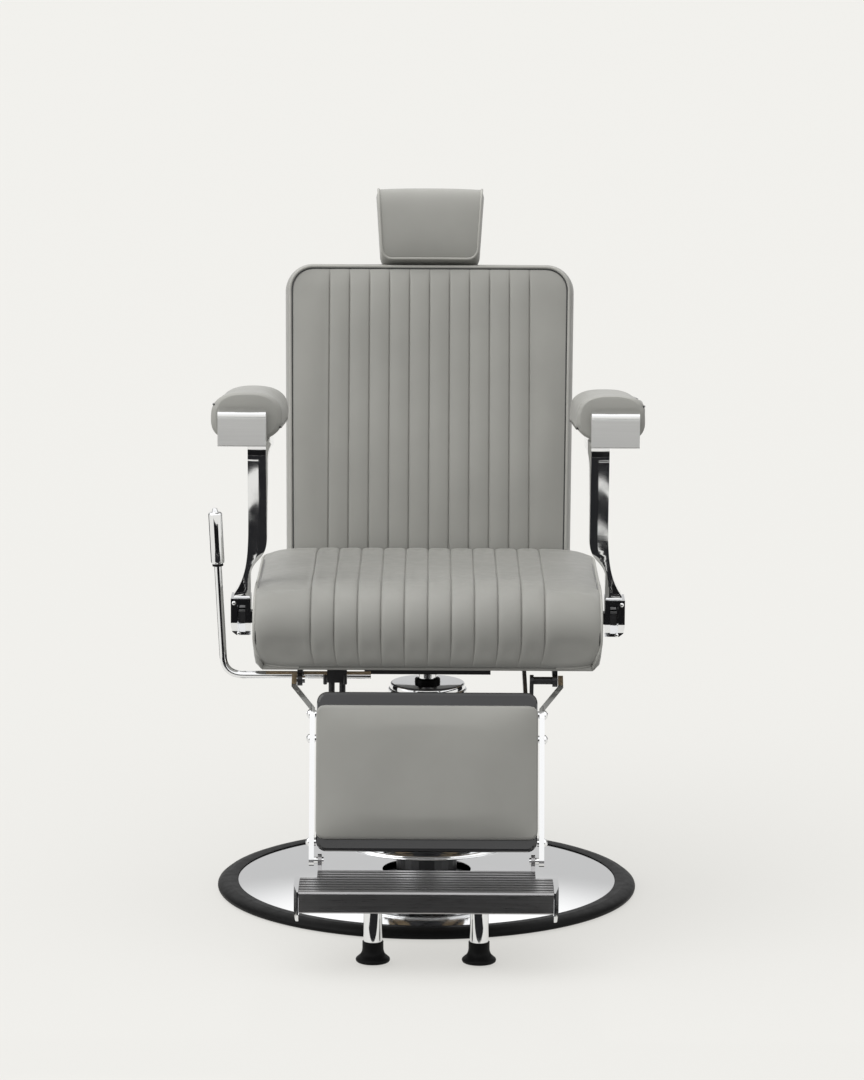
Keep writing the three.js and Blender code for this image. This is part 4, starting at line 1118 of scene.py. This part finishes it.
def sky():
    """A pale studio: mirrors see its walls and ceiling, all else sees a soft light from above."""
    world = bpy.data.worlds.new("studio")
    world.use_nodes = True
    bpy.context.scene.world = world
    tree = world.node_tree
    tree.nodes.clear()

    def math_node(operation, first, second):
        made = add_node(tree, "ShaderNodeMath", operation=operation)
        for k, value in enumerate((first, second)):
            if isinstance(value, float):
                made.inputs[k].default_value = value
            else:
                tree.links.new(value, made.inputs[k])
        return made.outputs[0]

    def ramp(value, stops):
        made = add_node(tree, "ShaderNodeValToRGB")
        made.color_ramp.interpolation = "EASE"
        elements = made.color_ramp.elements
        while len(elements) < len(stops):
            elements.new(0.5)
        for element, (position, light) in zip(elements, stops):
            element.position = position
            element.color = (light, light, light, 1)
        tree.links.new(value, made.inputs["Fac"])
        return made.outputs["Color"]

    def mix(factor, first, second, **settings):
        made = add_node(tree, "ShaderNodeMix", data_type="RGBA", **settings)
        for value, target in ((factor, "Factor"), (first, "A"), (second, "B")):
            if isinstance(value, (float, tuple)):
                made.inputs[target].default_value = value
            else:
                tree.links.new(value, made.inputs[target])
        return made.outputs["Result"]

    direction = add_node(tree, "ShaderNodeTexCoord").outputs["Generated"]
    parts = add_node(tree, "ShaderNodeSeparateXYZ")
    tree.links.new(direction, parts.inputs[0])
    across, facing, height = (
        math_node("ADD", math_node("MULTIPLY", parts.outputs[axis], 0.5), 0.5) for axis in "XYZ")
    # The walls are brightest at the sides and dimmest behind the chair. The cards darken the front.
    walls = ramp(facing, ((0.0, 1.0), (0.2, 1.0), (0.35, 1.3), (0.6, 0.8), (0.8, 0.62), (1.0, 0.6)))
    ceiling = ramp(height, ((0.0, 0.0), (0.62, 0.0), (0.72, 1.0), (1.0, 1.0)))
    mirrored = mix(ceiling, walls, (1.25, 1.25, 1.25, 1))
    above = ramp(height, ((0.0, 0.3), (0.5, 0.47), (0.72, 0.95), (1.0, 2.1)))
    leftwards = ramp(across, ((0.0, 1.6), (0.35, 1.1), (0.6, 0.85), (1.0, 0.72)))
    soft = mix(1.0, above, leftwards, blend_type="MULTIPLY")
    rays = add_node(tree, "ShaderNodeLightPath")
    background = add_node(tree, "ShaderNodeBackground")
    tree.links.new(mix(rays.outputs["Is Glossy Ray"], soft, mirrored), background.inputs["Color"])
    stop = add_node(tree, "ShaderNodeOutputWorld")
    tree.links.new(background.outputs[0], stop.inputs[0])


def make_floor():
    """Pale paper that glows a little, so that shadows on it stay faint."""
    half = 60000
    points = [(-half, -half, 0), (half, -half, 0), (half, half, 0), (-half, half, 0)]
    paint = Paint("studio_paper", PAPER, roughness=0.95)
    paint.fixed(Specular_IOR_Level=0.05)
    paint.tint(paint.grain(2, 2), shade(PAPER, 0.998), shade(PAPER, 1.002))
    paint.fixed(Emission_Color=(*FLOOR_GLOW, 1), Emission_Strength=1.0)
    floor = from_faces("studio_floor", points, [(0, 1, 2, 3)], paint.material, 0)
    floor.visible_diffuse = False


def make_card(name, corners):
    """A black card that only reflections see."""
    paint = Paint("studio_card", (0.012, 0.012, 0.013), roughness=1)
    paint.fixed(Specular_IOR_Level=0.0)
    card = from_faces(name, corners, [(0, 1, 2, 3)], paint.material, 0)
    card.visible_camera = False
    card.visible_diffuse = False
    card.visible_shadow = False
    card.visible_transmission = False


def make_cards():
    front, wide, tall = -1900, 1250, 470
    corners = [(-wide, front, 5), (wide, front, 5), (wide, front, tall), (-wide, front, tall)]
    make_card("card_front", corners)
    # On the floor, from x0 to x1 and from y0 to y1. The gaps between them light bands on the arms' legs.
    floor_cards = (
        (-260, 260, -1900, -620),
        (-wide, -260, -1900, -1230), (-1000, -260, -1080, -900),
        (260, wide, -1900, -1360), (260, wide, -1310, -1170), (260, 1000, -1120, -900),
    )
    for k, (x0, x1, y0, y1) in enumerate(floor_cards):
        make_card(f"card_floor_{k}", [(x0, y0, 2), (x1, y0, 2), (x1, y1, 2), (x0, y1, 2)])
    for name, side in SIDES:
        near, far, x = 350, 1300, side * 1500
        make_card(f"card_{name}", [(x, near, 5), (x, far, 5), (x, far, 1700), (x, near, 1700)])


def make_camera():
    data = bpy.data.cameras.new("camera")
    data.lens = CAMERA_LENS
    data.sensor_width = 36
    data.clip_end = 200
    camera = add_object("camera", data)
    tilt = Matrix.Rotation(math.radians(CAMERA_TILT), 4, "X")
    roll = Matrix.Rotation(math.radians(CAMERA_ROLL), 4, "Z")
    camera.matrix_world = Matrix.Translation(CAMERA_PLACE) @ tilt @ roll
    bpy.context.scene.camera = camera


def make_key_lamp():
    """A very soft lamp from the upper left, which draws the seams."""
    data = bpy.data.lights.new("key", "SUN")
    data.energy = 0.6
    data.angle = math.radians(50)
    data.specular_factor = 0.5
    lamp = add_object("key", data)
    lamp.rotation_euler = Vector(KEY_FROM).to_track_quat("Z", "Y").to_euler()


def make_studio():
    make_camera()
    make_key_lamp()
    make_floor()
    make_cards()
    sky()
    view = bpy.context.scene.view_settings
    view.view_transform = "Standard"
    view.look = "None"


make_studio()
make_back()
make_seat()
make_headrest()
make_legrest_pad()
for arm_side in SIDES:
    make_arm_pad(*arm_side)
    make_arm_frame(*arm_side)
make_base()
make_pump()
make_lever()
make_screws()
make_feet()
dress_nodes()
